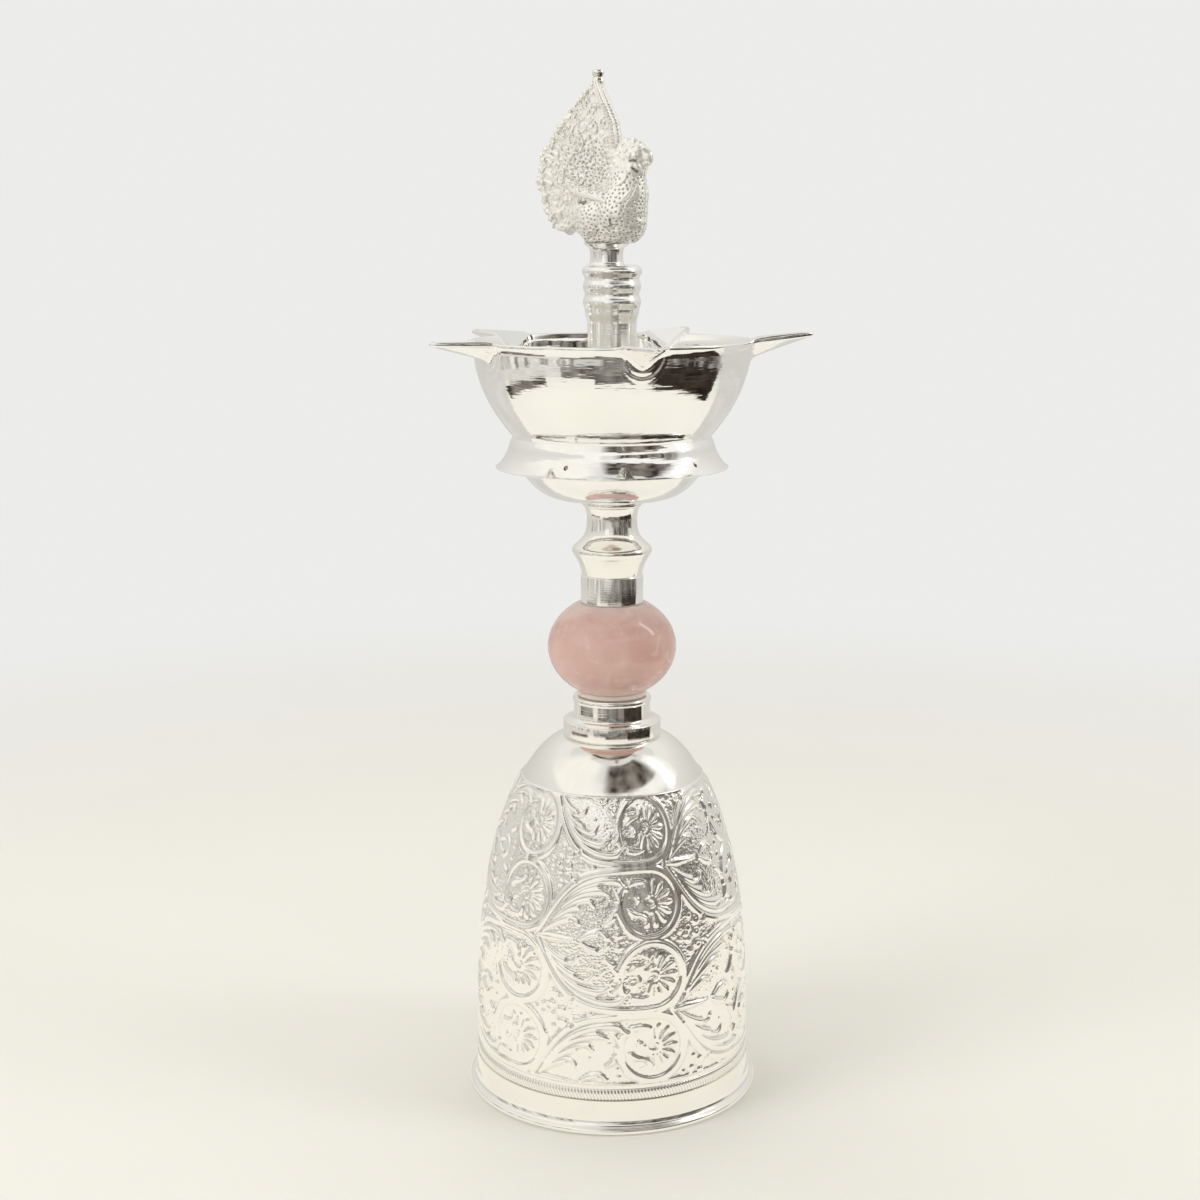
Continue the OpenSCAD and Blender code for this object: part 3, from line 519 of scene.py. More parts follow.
def cut_thread(name, low, high, body):
    """A screwed end: one pointed ridge wound up the rod, closed at both ends."""
    bm = bmesh.new()
    turns = (high - low) / PITCH - 1
    root, crest = THREAD_ROOT_R - 0.1, ROD_R - 0.03
    ridge = [(root, -0.46), (crest, -0.06), (crest, 0.06), (root, 0.46)]
    section = bm.faces.new([bm.verts.new((r * MM, 0, (low + PITCH / 2 + z) * MM)) for r, z in ridge])
    bmesh.ops.spin(
        bm, geom=[section], cent=(0, 0, 0), axis=(0, 0, 1), dvec=(0, 0, PITCH * MM / THREAD_STEPS),
        angle=2 * math.pi * turns, steps=int(round(turns * THREAD_STEPS)),
    )
    bmesh.ops.recalc_face_normals(bm, faces=bm.faces)
    fit_on(mesh_piece(name, bm, plain_steel, 30), body, "plain_steel")


rod_outline = [
    (0, ROD_LOW), (THREAD_ROOT_R - ROD_EDGE, ROD_LOW), (THREAD_ROOT_R, ROD_LOW + ROD_EDGE),
    (THREAD_ROOT_R, LOW_THREAD_END), (ROD_R, LOW_THREAD_END + RUN_OUT),
    (ROD_R, HIGH_THREAD_START - RUN_OUT), (THREAD_ROOT_R, HIGH_THREAD_START),
    (THREAD_ROOT_R, ROD_HIGH - ROD_EDGE), (THREAD_ROOT_R - ROD_EDGE, ROD_HIGH), (0, ROD_HIGH),
]
turning("tie_rod_shank", rod_outline, plain_steel, "stand", "plain_steel", "tie_rod", 30, 64, closed=False)
cut_thread("tie_rod_thread_low", ROD_LOW, LOW_THREAD_END, "stand")
cut_thread("tie_rod_thread_high", HIGH_THREAD_START, ROD_HIGH, "stand")
for name in ("clamp_washer", "clamp_nut"):
    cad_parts[name].data.materials.clear()
    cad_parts[name].data.materials.append(plain_steel)


# Collar: a two-step turning on the crown of the bell, with a cove between the steps.
# It is turned from silver bar and bored for the rod.
COLLAR_Z, BEAD_Z = 98.7, 109.7
STEP_R, STEP_TOP_Z, COLLAR_NECK_R = 13.0, 102.8, 10.4
COVE_Z, COVE_IN, COVE_H = 104.3, 2.6, 1.2
EDGE = 0.3
collar_outline = (
    [(ROD_HOLE_R, COLLAR_Z)]
    + arc((STEP_R, COLLAR_Z + EDGE), EDGE, EDGE, -90, 0, 4)
    + arc((STEP_R, STEP_TOP_Z), EDGE, EDGE, 0, 90, 4)
    + arc((STEP_R, COVE_Z), COVE_IN, COVE_H, 270, 180, 14)
    + [(COLLAR_NECK_R, 105.6), (COLLAR_NECK_R, 107.0), (COLLAR_NECK_R, 108.05)]
    + arc((COLLAR_NECK_R, 108.75), 0.25, 0.65, -80, 80, 10)
    + [(COLLAR_NECK_R - 0.05, BEAD_Z), (ROD_HOLE_R, BEAD_Z)]
)
turning("base_collar_turned", collar_outline, turned_silver, "stand", "polished_silver", "base_collar", 35)


# Bead: one polished piece of rose quartz, bored for the rod, with a small lip at its lower end.
# The stone is cloudy, with pale veils and a few warmer threads in it. Towards its ends it is painted paler, the lower
# end most: painted light on its ends.
SLEEVE_Z = 135.3
BEAD_R, BEAD_END_R, BEAD_LIP_H = 17.4, 9.2, 1.6
STONE_TONES = (0.28, (0.545, 0.335, 0.30, 1)), (0.5, (0.63, 0.41, 0.365, 1)), (0.76, (0.71, 0.52, 0.475, 1))
# The paler end tone is painted light on the bead's ends.
VEIN_TONE, END_LIGHT_TONE = (0.86, 0.74, 0.68, 1), (0.85, 0.73, 0.685, 1)
bead_end = math.degrees(math.acos(BEAD_END_R / BEAD_R))
bead_centre_z = (BEAD_Z + BEAD_LIP_H + SLEEVE_Z) / 2
bead_half = (SLEEVE_Z - BEAD_Z - BEAD_LIP_H) / 2 / math.sin(math.radians(bead_end))
bead_outline = (
    [(ROD_HOLE_R, BEAD_Z)]
    + arc((BEAD_END_R - 0.3, BEAD_Z + BEAD_LIP_H / 2), 0.6, BEAD_LIP_H / 2, -90, 80, 12)
    + arc((0, bead_centre_z), BEAD_R, bead_half, -bead_end, bead_end, 72)
    + [(ROD_HOLE_R, SLEEVE_Z)]
)
rose_quartz, tree, shader, place = new_material("rose_quartz")
veil = add(tree, "TexNoise", {"Vector": place, "Scale": 55.0, "Detail": 4.0, "Roughness": 0.5, "Distortion": 0.6})
thread = add(tree, "TexNoise", {"Vector": place, "Scale": 150.0, "Detail": 4.0, "Distortion": 2.2})
stone = add(tree, "ValToRGB", {0: veil})
ramp = stone.node.color_ramp.elements
ramp.new(0.5)
for step, (at, tone) in zip(ramp, STONE_TONES):
    step.position, step.color = at, tone
veined = blend(tree, ranged(tree, thread, 0.56, 0.7, 0.0, 0.22), stone, VEIN_TONE)
upright = add(tree, "SeparateXYZ", {0: place}, "Z")
# Painted light: paler towards the lower end and, less, towards the top end.
low_end_light = ranged(tree, upright, (BEAD_Z + 1) * MM, (BEAD_Z + 5) * MM, 0.75, 0.0)
high_end_light = ranged(tree, upright, (SLEEVE_Z - 5) * MM, SLEEVE_Z * MM, 0.0, 0.4)
end_light_share = add(tree, "Math", {0: low_end_light, 1: high_end_light}, operation="MAXIMUM")
feed(tree, shader, {
    "Base Color": blend(tree, end_light_share, veined, END_LIGHT_TONE), "Roughness": ranged(tree, veil, 0.3, 0.7, 0.03, 0.07),
    "Subsurface Weight": 0.35, "Subsurface Radius": (0.006, 0.003, 0.0025), "Subsurface Scale": 1.0, "IOR": 1.54,
})
turning("rose_bead_polished", bead_outline, rose_quartz, "stand", "rose_quartz", "rose_bead", 50)


# Sleeve and baluster: two plain silver turnings on the rod over the bead.
# The sleeve still shows the lines of the tool; the baluster is burnished and carries the bowl.
BALUSTER_Z, STEM_TOP_Z = 143.0, 163.0
SLEEVE_R = 8.4
BALUSTER_LINE = [
    (8.1, 143.1), (8.45, 144.6), (9.0, 146.2), (9.8, 147.7), (10.5, 148.9), (10.75, 149.8), (10.35, 150.7),
    (9.1, 151.8), (7.9, 153.1), (7.1, 154.8), (6.75, 157.0), (6.8, 159.4), (7.4, 161.4),
]


def eased(stations, steps):
    """A turned outline eased through stations of radius and height."""
    made = []
    for (ra, za), (rb, zb) in zip(stations, stations[1:]):
        for k in range(steps):
            t = k / steps
            made.append((ra + (rb - ra) * (1 - math.cos(math.pi * t)) / 2, za + (zb - za) * t))
    return made + [stations[-1]]


lined_silver = silver("polished_silver_tool_lines", 0.08, 0.16, 0.2, 0.0, CLEAN_TONES)
sleeve_outline = (
    [(ROD_HOLE_R, SLEEVE_Z)]
    + arc((SLEEVE_R - EDGE, SLEEVE_Z + EDGE), EDGE, EDGE, -90, 0, 4)
    + arc((SLEEVE_R - EDGE, BALUSTER_Z - EDGE), EDGE, EDGE, 0, 90, 4)
    + [(ROD_HOLE_R, BALUSTER_Z)]
)
turning("stem_sleeve_turned", sleeve_outline, lined_silver, "stand", "polished_silver", "stem_sleeve", 35)
baluster_outline = (
    [(ROD_HOLE_R, BALUSTER_Z), (8.0, BALUSTER_Z), *smooth_path(BALUSTER_LINE, 9)]
    + arc((7.6, 162.3), 0.4, 0.7, -80, 80, 12)
    + [(ROD_HOLE_R, STEM_TOP_Z)]
)
turning("baluster_turned", baluster_outline, turned_silver, "stand", "polished_silver", "baluster")


# Bowl seal: a thin leather washer between the stem's flange and the bowl.
# It is cut from vegetable-tanned leather and pressed flat when the bowl is screwed down.
BOWL_Z, SEAL_HOLE_R, BOWL_SEAL_R = 163.6, 3.05, 7.4
leather, tree, shader, place = new_material("leather_washer")
grain = add(tree, "TexNoise", {"Vector": place, "Scale": 420.0, "Detail": 4.0})
pores = add(tree, "TexVoronoi", {"Vector": place, "Scale": 2600.0})
feed(tree, shader, {
    "Base Color": blend(tree, grain, (0.11, 0.055, 0.028, 1), (0.24, 0.13, 0.07, 1)),
    "Roughness": ranged(tree, grain, 0.3, 0.7, 0.5, 0.75),
    "Normal": add(tree, "Bump", {"Height": pores, "Strength": 0.3, "Distance": 0.0001}),
})


def washer_outline(inner_r, outer_r, low, high):
    """A flat washer with a rounded outer edge."""
    half = (high - low) / 2
    return (
        [(inner_r, low), (outer_r - half, low)]
        + arc((outer_r - half, low + half), half, half, -80, 80, 8)
        + [(outer_r - half, high), (inner_r, high)]
    )


turning(
    "bowl_seal_leather", washer_outline(SEAL_HOLE_R, BOWL_SEAL_R, STEM_TOP_Z, BOWL_Z), leather,
    "bowl_washer", "leather_washer", "bowl_seal", steps=128,
)


# Oil bowl: spun from one silver sheet, then its rim drawn out into five beaks for the wicks.
# The lip between the beaks is turned out a little, and the floor is bored for the pedestal.
WAIST_Z, RIM_Z = 180.3, 205.0
WAIST_R, RIM_R, FLOOR_R, FLOOR_HOLE_R = 26.2, 36.5, 12.3, 5.22
WALL_H, DISH_H, BOWL_SHEET = RIM_Z - WAIST_Z, WAIST_Z - BOWL_Z, 1.0
WALL_TURN, LIP_FLARE, LIP_START = 2.1, 0.8, 0.9
BEAKS, BEAK_REACH, BEAK_HALF, BEAK_TURN = 5, 16.0, 7.2, -78.0
KEEL_H, KEEL_SOFT, TIP_ROUND = 3.8, 0.16, 0.2
BEAK_LIFTS = (0.3, 1.9, 0.7, 0.5, 0.3)
RIPPLE, RIPPLE_PITCH, RIPPLE_START, RIPPLE_END, RIPPLE_NARROW = 0.075, 1.9, 3.9, 9.6, 1.25
BOWL_COLUMNS, BEAK_APART = 720, 360 / BEAKS


def wall_outer(t, off, lift=0.3):
    """Radius and height of the wall's outside at a share of its height, at an angle off a beak's middle.
    A beak has a straight keel, eased into the wall, and slight rings round its root that the drawing left."""
    across = np.sqrt((off / BEAK_HALF) ** 2 + TIP_ROUND ** 2) - TIP_ROUND
    keel = 1 - across - WALL_H * (1 - t) / KEEL_H
    drawn = (keel + np.sqrt(keel ** 2 + KEEL_SOFT ** 2)) / (1 + math.sqrt(1 + KEEL_SOFT ** 2))
    lip_rise = np.clip((t - LIP_START) / (1 - LIP_START), 0, 1) ** 2
    plain = WAIST_R + (RIM_R - WAIST_R) * (1 - (1 - t) ** WALL_TURN)
    root = np.hypot(RIPPLE_NARROW * np.radians(off) * RIM_R, WALL_H * (1 - t))
    rings = np.sin(np.clip((root - RIPPLE_START) / (RIPPLE_END - RIPPLE_START), 0, 1) * math.pi) ** 2
    r = plain + LIP_FLARE * np.clip(1 - drawn, 0, 1) * lip_rise + BEAK_REACH * drawn
    r = r + RIPPLE * rings * np.cos(2 * math.pi * root / RIPPLE_PITCH)
    return r, WAIST_Z + WALL_H * t + lift * drawn


def wall_inner(t, off, lift):
    """The same on the inside: level with the outside at the waist, square to the wall from halfway up."""
    r, z = wall_outer(t, off, lift)
    low, high = wall_outer(max(t - 0.01, 0), off, lift), wall_outer(min(t + 0.01, 1), off, lift)
    lean = (high[0] - low[0]) / (high[1] - low[1])
    across = (wall_outer(t, off + 0.5)[0] - wall_outer(t, off - 0.5)[0]) / (np.radians(1.0) * r)
    level = BOWL_SHEET * np.sqrt(1 + lean ** 2 + across ** 2)
    square_in = level / (1 + lean ** 2)
    turned_in = min(1, 2 * t)
    return r - level + (level - square_in) * turned_in, z + lean * square_in * turned_in


def dish_row(a, low, waist_r):
    """Radius and height of the bowl's rounded underside or floor, at an angle up from its flat middle."""
    return FLOOR_R + (waist_r - FLOOR_R) * math.sin(a), BOWL_Z + low + (DISH_H - low) * (1 - math.cos(a))


column_turn = (np.arange(BOWL_COLUMNS) * 360 / BOWL_COLUMNS - BEAK_TURN + BEAK_APART / 2) % 360
column_off = column_turn % BEAK_APART - BEAK_APART / 2
column_lift = np.array(BEAK_LIFTS)[(column_turn // BEAK_APART).astype(int)]
wall_shares = np.concatenate([np.linspace(0, 0.66, 12)[:-1], np.linspace(0.66, 1, 32)])
outside = [wall_outer(t, column_off, column_lift) for t in wall_shares]
inside = [wall_inner(t, column_off, column_lift) for t in wall_shares[::-1]]
lip_r, lip_z = inside[0][0] - outside[-1][0], inside[0][1] - outside[-1][1]
lip = []
for k in np.linspace(0, 1, 7)[1:-1]:
    swell = 0.4 * math.sin(math.pi * k)
    lip.append((outside[-1][0] + lip_r * k + lip_z * swell, outside[-1][1] + lip_z * k - lip_r * swell))
dish = np.radians(np.linspace(0, 90, 17))[:-1]
inner_waist = inside[-1][0].max()
bowl_rows = (
    [(FLOOR_HOLE_R, BOWL_Z)]
    + [dish_row(a, 0, WAIST_R) for a in dish]
    + outside + lip + inside
    + [dish_row(a, BOWL_SHEET, inner_waist) for a in dish[::-1]]
    + [(FLOOR_HOLE_R, BOWL_Z + BOWL_SHEET)]
)
bowl_table = np.array([[np.broadcast_to(v, BOWL_COLUMNS) for v in row] for row in bowl_rows])
bowl_bm = spun([(30, k) for k in range(len(bowl_rows))], BOWL_COLUMNS)
for vert in bowl_bm.verts:
    row, turn = round(vert.co.z / MM), math.atan2(vert.co.y, vert.co.x)
    r, z = bowl_table[row, :, round(math.degrees(turn) * BOWL_COLUMNS / 360) % BOWL_COLUMNS]
    vert.co = (r * math.cos(turn) * MM, r * math.sin(turn) * MM, z * MM)
bmesh.ops.recalc_face_normals(bowl_bm, faces=bowl_bm.faces)
spun_silver = silver("polished_silver_spun", 0.04, 0.11, 0.03, 0.34, CLEAN_TONES, 0.92)
bowl = mesh_piece("oil_bowl_beaked", bowl_bm, spun_silver, 60)
points = coordinates(bowl.data)
radius, level = round_axis(points)[0], (points[:, 2] - BOWL_Z) / DISH_H
dish_r = FLOOR_R + (WAIST_R - FLOOR_R) * np.sqrt(np.clip(1 - (1 - level) ** 2, 0, 1))
# The bowl's outside under the skirt is darkened: painted shade under the skirt, with stain.
mark(bowl, "stain_and_shade", np.clip((level - 0.5) / 0.15, 0, 1) * (level < 0.995) * (radius > dish_r - 0.3))
fit_on(bowl, "bowl", "polished_silver", "oil_bowl")


# Drip skirt: a flared silver ring soldered under the bowl's waist.
# It is drilled between the beaks for hanging drops, five small holes in all.
SKIRT_TOP_R, SKIRT_LOW_R, SKIRT_H, SKIRT_FLARE = 26.22, 30.1, 8.3, 2.2
SKIRT_SHEET, SKIRT_TOP_SHEET, SKIRT_EDGE = 0.9, 0.1, 0.25
HOLE_R, HOLE_Z = 0.62, 174.82


def skirt_r(run):
    """The skirt's inner radius at a share of its height, from the top."""
    return SKIRT_TOP_R + (SKIRT_LOW_R - SKIRT_TOP_R) * run ** SKIRT_FLARE


down = np.linspace(0, 1, 28)
skirt_inner = [(skirt_r(k), WAIST_Z - SKIRT_H * k) for k in down]
skirt_sheet = SKIRT_TOP_SHEET + (SKIRT_SHEET - SKIRT_TOP_SHEET) * np.sin(np.clip(down / 0.3, 0, 1) * math.pi / 2)
skirt_outline = (
    skirt_inner[:-1]
    + arc(
        (SKIRT_LOW_R + SKIRT_SHEET / 2, skirt_inner[-1][1] + SKIRT_EDGE), SKIRT_SHEET / 2, SKIRT_EDGE, 180, 360, 10
    )
    + [(r + sheet, z) for (r, z), sheet in zip(skirt_inner[-2::-1], skirt_sheet[-2::-1])]
)


def with_modifiers(rough):
    """A mesh worked out from a rough piece and its modifiers; the rough piece is then removed."""
    bpy.context.view_layer.update()
    graph = bpy.context.evaluated_depsgraph_get()
    worked = bmesh.new()
    worked.from_mesh(bpy.data.meshes.new_from_object(rough.evaluated_get(graph)))
    bpy.data.objects.remove(rough)
    return worked


drill_bm = bmesh.new()
for k in range(BEAKS):
    hole_way = Matrix.Rotation(math.radians(BEAK_TURN + BEAK_APART * (k + 0.5)), 4, "Z")
    bmesh.ops.create_cone(
        drill_bm, cap_ends=True, segments=32, radius1=HOLE_R * MM, radius2=HOLE_R * MM, depth=0.008,
        matrix=hole_way @ Matrix.Translation((29 * MM, 0, HOLE_Z * MM)) @ Matrix.Rotation(math.pi / 2, 4, "Y"),
    )
drill = mesh_piece("skirt_drill", drill_bm, spun_silver)
rough = mesh_piece("skirt_undrilled", spun(skirt_outline, 320), spun_silver)
holes = rough.modifiers.new("holes", "BOOLEAN")
holes.operation, holes.solver, holes.object = "DIFFERENCE", "EXACT", drill
skirt = mesh_piece("drip_skirt_flared", with_modifiers(rough), spun_silver)
bpy.data.objects.remove(drill)
points = coordinates(skirt.data)
run = np.clip((WAIST_Z - points[:, 2]) / SKIRT_H, 0, 1)
inner = round_axis(points)[0] < SKIRT_SHEET + skirt_r(run) - 0.15
# The skirt's inside is darkened: painted shade under the skirt, with stain.
mark(skirt, "stain_and_shade", inner * (run > 0.31) * np.clip((0.95 - run) / 0.15, 0, 1))
fit_on(skirt, "bowl", "polished_silver", "drip_skirt")


# Pedestal and stud: a plain silver boss soldered to the bowl's floor, with a steel stud in its top.
# The boss is screwed onto the tie rod from below, and the post is screwed onto the stud.
PEDESTAL_Z, POST_Z, POST_R = 179.6, 180.2, 6.5
STUD_LOW, STUD_HIGH, SOCKET_TOP = 172.8, 188.2, 172.2
STUD_HOLE_R, SPIGOT_R = 3.02, 5.2
pedestal_outline = (
    [(SEAL_HOLE_R, BOWL_Z), (SPIGOT_R, BOWL_Z), (SPIGOT_R, BOWL_Z + BOWL_SHEET), (POST_R, BOWL_Z + BOWL_SHEET)]
    + arc((POST_R - EDGE, PEDESTAL_Z - EDGE), EDGE, EDGE, 0, 90, 4)
    + [(STUD_HOLE_R, PEDESTAL_Z), (STUD_HOLE_R, STUD_LOW), (0, STUD_LOW), (0, SOCKET_TOP), (SEAL_HOLE_R, SOCKET_TOP)]
)
turning(
    "bowl_pedestal_turned", pedestal_outline, turned_silver, "bowl", "polished_silver", "bowl_pedestal", 35, 128
)
stud_outline = [
    (0, STUD_LOW), (ROD_R, STUD_LOW), (ROD_R, PEDESTAL_Z - ROD_EDGE), (THREAD_ROOT_R, PEDESTAL_Z),
    (THREAD_ROOT_R, STUD_HIGH - ROD_EDGE), (THREAD_ROOT_R - ROD_EDGE, STUD_HIGH), (0, STUD_HIGH),
]
turning("post_stud_shank", stud_outline, plain_steel, "bowl", "plain_steel", "post_stud", 30, 64, closed=False)
cut_thread("post_stud_thread", PEDESTAL_Z, STUD_HIGH, "bowl")


# Post seal: a thin leather washer under the post.
# It is cut and pressed like the one under the bowl.
POST_SEAL_R = 6.2
turning(
    "post_seal_leather", washer_outline(SEAL_HOLE_R, POST_SEAL_R, PEDESTAL_Z, POST_Z), leather,
    "post_washer", "leather_washer", "post_seal", steps=128,
)


# Post: a plain silver turning in the middle of the bowl, with two bead rings and a flange on top.
# It is threaded underneath for the stud.
POST_TOP_Z, STUD_BORE_TOP = 224.9, 188.8
POST_RINGS = [
    (POST_R, 209.7), (7.15, 213.3), (7.65, 215.35), (7.15, 217.4), (7.65, 219.45), (7.15, 221.5), (7.9, 223.2),
]
post_outline = (
    [(SEAL_HOLE_R, POST_Z)]
    + arc((POST_R - EDGE, POST_Z + EDGE), EDGE, EDGE, -90, 0, 4)
    + eased(POST_RINGS, 10)[:-1]
    + arc((6.2, 223.2), 1.7, 1.7, 0, 90, 14)
    + [(0, POST_TOP_Z), (0, STUD_BORE_TOP), (SEAL_HOLE_R, STUD_BORE_TOP)]
)
turning("post_ringed", post_outline, lined_silver, "finial", "polished_silver", "post", steps=192)


# Neck: a small hollow-curved silver turning between the post and the bird.
# It is soldered to the post's flange, a little off the lamp's axis, and carries the bird's belly.
BELLY_Z, FINIAL_SET, NECK_R, BELLY_R = 230.5, -1.4, 4.8, 6.0
NECK_LINE = [
    (NECK_R, POST_TOP_Z + 0.1), (4.5, 225.5), (4.35, 226.4), (4.35, 228.2), (4.7, 229.3), (BELLY_R, 230.3),
]
neck_outline = (
    [(0, POST_TOP_Z), (NECK_R, POST_TOP_Z), *smooth_path(NECK_LINE, 9)]
    + [(BELLY_R, BELLY_Z - 0.05), (BELLY_R - 0.05, BELLY_Z), (0, BELLY_Z)]
)
turning(
    "finial_neck_turned", neck_outline, lined_silver, "finial", "polished_silver", "finial_neck",
    steps=128, closed=False, at=(FINIAL_SET, 0, 0),
)


# Bird: a peacock stamped in two silver halves and soldered on its middle plane.
# The stampings are chased all over with feather eyes, beads, scrolls and pits; the pits and hollows are darkened with
# stain and painted shade.
BIRD_VOXEL, SMOOTHINGS = 0.000185, 6
BIRD_BASE_Z, BIRD_TURN = 231.4, math.radians(-30)
FAN_ROOT = np.array((-1.0, 13.0))
FAN_EDGE = np.vstack([
    cubic((-9.4, 2.8), (-16.1, 0.6), (-17.6, 7.1), (-19.6, 14.65), 60)[:-1],
    cubic((-19.6, 14.65), (-21.0, 22.2), (-12.5, 30.5), (-3.2, 39.6), 90),
])
TAIL_FRONT = cubic((-1.8, 39.6), (-0.6, 34.6), (3.7, 30.3), (3.4, 23.8), 60)
FEATHER_ROWS = [
    # share of the fan, pitch, half-length of a feather's eye or 0 for a bead, half-width
    (0.97, 1.7, 0, 0.95), (0.84, 2.7, 1.7, 1.1), (0.72, 1.7, 0, 0.7), (0.6, 2.5, 1.5, 1.0), (0.49, 1.6, 0, 0.65),
    (0.39, 2.1, 1.1, 0.8), (0.28, 1.5, 0, 0.6),
]
TAIL_SCROLLS = [
    # centre, radius and way round
    ((0.6, 29.2), 1.9, 1), ((1.4, 25.0), 1.7, -1), ((-2.6, 33.4), 1.4, 1), ((0.9, 20.9), 1.8, 1),
    ((-1.6, 17.6), 1.6, -1),
]
BREAST_LEAVES = [
    [(6.6, 9.4), (8.6, 10.4), (9.6, 12.6)], [(8.8, 9.0), (10.4, 11.2), (10.6, 13.6)],
    [(5.6, 13.6), (7.4, 15.0), (8.0, 17.0)],
]
WING_EDGE = [(-9.5, 13.2), (-4.8, 11.6), (0.5, 10.6), (3.4, 9.6)]
BIRD_CUTS = [
    # line, half-widths and depth of the mouth, throat, thigh and wing cuts
    ([(9.0, 19.8), (10.4, 19.9)], (0.35, 0.25), 0.35), ([(9.6, 18.3), (10.4, 18.0)], (0.35, 0.45), 0.4),
    ([(5.0, 5.2), (4.9, 3.4)], (0.35, 0.4), 0.22), ([(-6.2, 9.6), (-3.6, 9.2)], (0.4, 0.45), 0.35),
]
FEATHER_LINES = (0.91, 0.795, 0.685, 0.575, 0.47)
EYE_AT, EYE_R = (8.4, 21.2), 0.75
BODY_HALF, BODY_FRONT, BODY_TOP = 2.6, 4.2, 17
PIT_PITCH, PIT_R, PIT_DEPTH = 0.98, 0.33, 0.24
TAIL_PITS_AT, TAIL_PITS_SIZE = (-5.0, 19.0), (6.5, 7.0)
TAIL_GROUND_PITCH, HEAD_GROUND_PITCH, EDGE_LUMP = 1.35, 1.2, 0.5
BEAK_ROOT, BEAK_SWELL = (8.8, 20.0), 0.5
SCATTER_TRIES = 2600
chance = np.random.default_rng(7)


def spaced(line, pitch):
    """Points at an even pitch along a line."""
    run = np.concatenate([[0], np.cumsum(np.hypot(*np.diff(line, axis=0).T))])
    at = np.arange(pitch / 2, run[-1], pitch)
    return np.column_stack([np.interp(at, run, line[:, i]) for i in (0, 1)])


def scattered(low, high, pitch):
    """Points strewn over a box, none nearer to another than the pitch."""
    kept = np.array([low], float)
    for spot in chance.uniform(low, high, (SCATTER_TRIES, 2)):
        if np.hypot(*(kept - spot).T).min() > pitch:
            kept = np.vstack([kept, spot])
    return kept


ground = np.vstack([
    scattered((-20, 1), (4, 40), TAIL_GROUND_PITCH), scattered((5, 18.5), (11, 26), HEAD_GROUND_PITCH),
])
tail_ground = [
    (spot, *chance.uniform((0.45, 0.2, 0), (0.85, 0.5, 1))) for spot in ground if spot[1] > 11.5 or spot[0] < -8.5
]


def chase_bird(height, x, y):
    """The relief of one half, as seen square to its middle plane."""
    for share, pitch, half_length, half_width in FEATHER_ROWS:
        for k, tip in enumerate(spaced(FAN_ROOT + share * (FAN_EDGE - FAN_ROOT), pitch)):
            way = (tip - FAN_ROOT) / np.hypot(*(tip - FAN_ROOT))
            grown = 1 + 0.3 * math.sin(2.4 * k + 9 * share)
            tip = tip + 0.3 * np.array((math.sin(5.1 * k + 4 * share), math.cos(3.7 * k)))
            if half_length:
                eye = tip + np.linspace(-half_length, half_length, 9)[:, None] * way
                raise_stroke(height, x, y, eye, (0.3, half_width * grown, half_width * grown, 0.4), 0.6, 0.2)
                sink_stroke(height, x, y, eye[4:7], (0.2, 0.45 * half_width, 0.25), 0.22)
            else:
                raise_boss(height, x, y, tip, half_width * grown, 0.6, 0.0 if share > 0.9 else 0.5)
    for share in FEATHER_LINES:
        raise_stroke(height, x, y, FAN_ROOT + share * (FAN_EDGE - FAN_ROOT), (0.25, 0.25), 0.35)
    for (cx, cy), r, way in TAIL_SCROLLS:
        turn = np.linspace(0, 3.2 * math.pi, 40)
        reach = r * (1 - turn / (3.6 * math.pi))
        coil = np.column_stack([cx + reach * np.cos(way * turn), cy + reach * np.sin(way * turn)])
        raise_stroke(height, x, y, coil, (0.42, 0.36, 0.3), 0.5)
    for spot, radius_mm, rise, kind in tail_ground:
        if kind < 0.58:
            raise_boss(height, x, y, spot, radius_mm, rise, 0.6 if kind < 0.25 else 0.0)
        else:
            sink_stroke(height, x, y, np.array([spot, spot + (0.25, 0.15)]), (0.42, 0.36), 0.4)
    raise_stroke(height, x, y, TAIL_FRONT - (0.5, 0), (0.5, 0.6, 0.6), 0.55)
    sink_stroke(height, x, y, TAIL_FRONT - (1.35, 0), (0.26, 0.44), 0.6)
    for tick in spaced(TAIL_FRONT[22:] - (0.9, 0), 0.85):
        sink_stroke(height, x, y, tick + np.array([[-0.55, 0], [0.0, 0.05], [0.55, 0.1]]), (0.28, 0.3, 0.26), 0.55)
    for leaf in BREAST_LEAVES:
        raise_stroke(height, x, y, smooth_path(leaf), (0.3, 0.7, 0.8, 0.3), 0.35, 0.45)
    raise_stroke(height, x, y, smooth_path(WING_EDGE), (0.3, 0.7, 0.8, 0.4), 0.5, 0.5)
    raise_boss(height, x, y, EYE_AT, EYE_R, 0.55, 0.7)
    for line, widths, depth in BIRD_CUTS:
        sink_stroke(height, x, y, smooth_path(line), widths, depth)


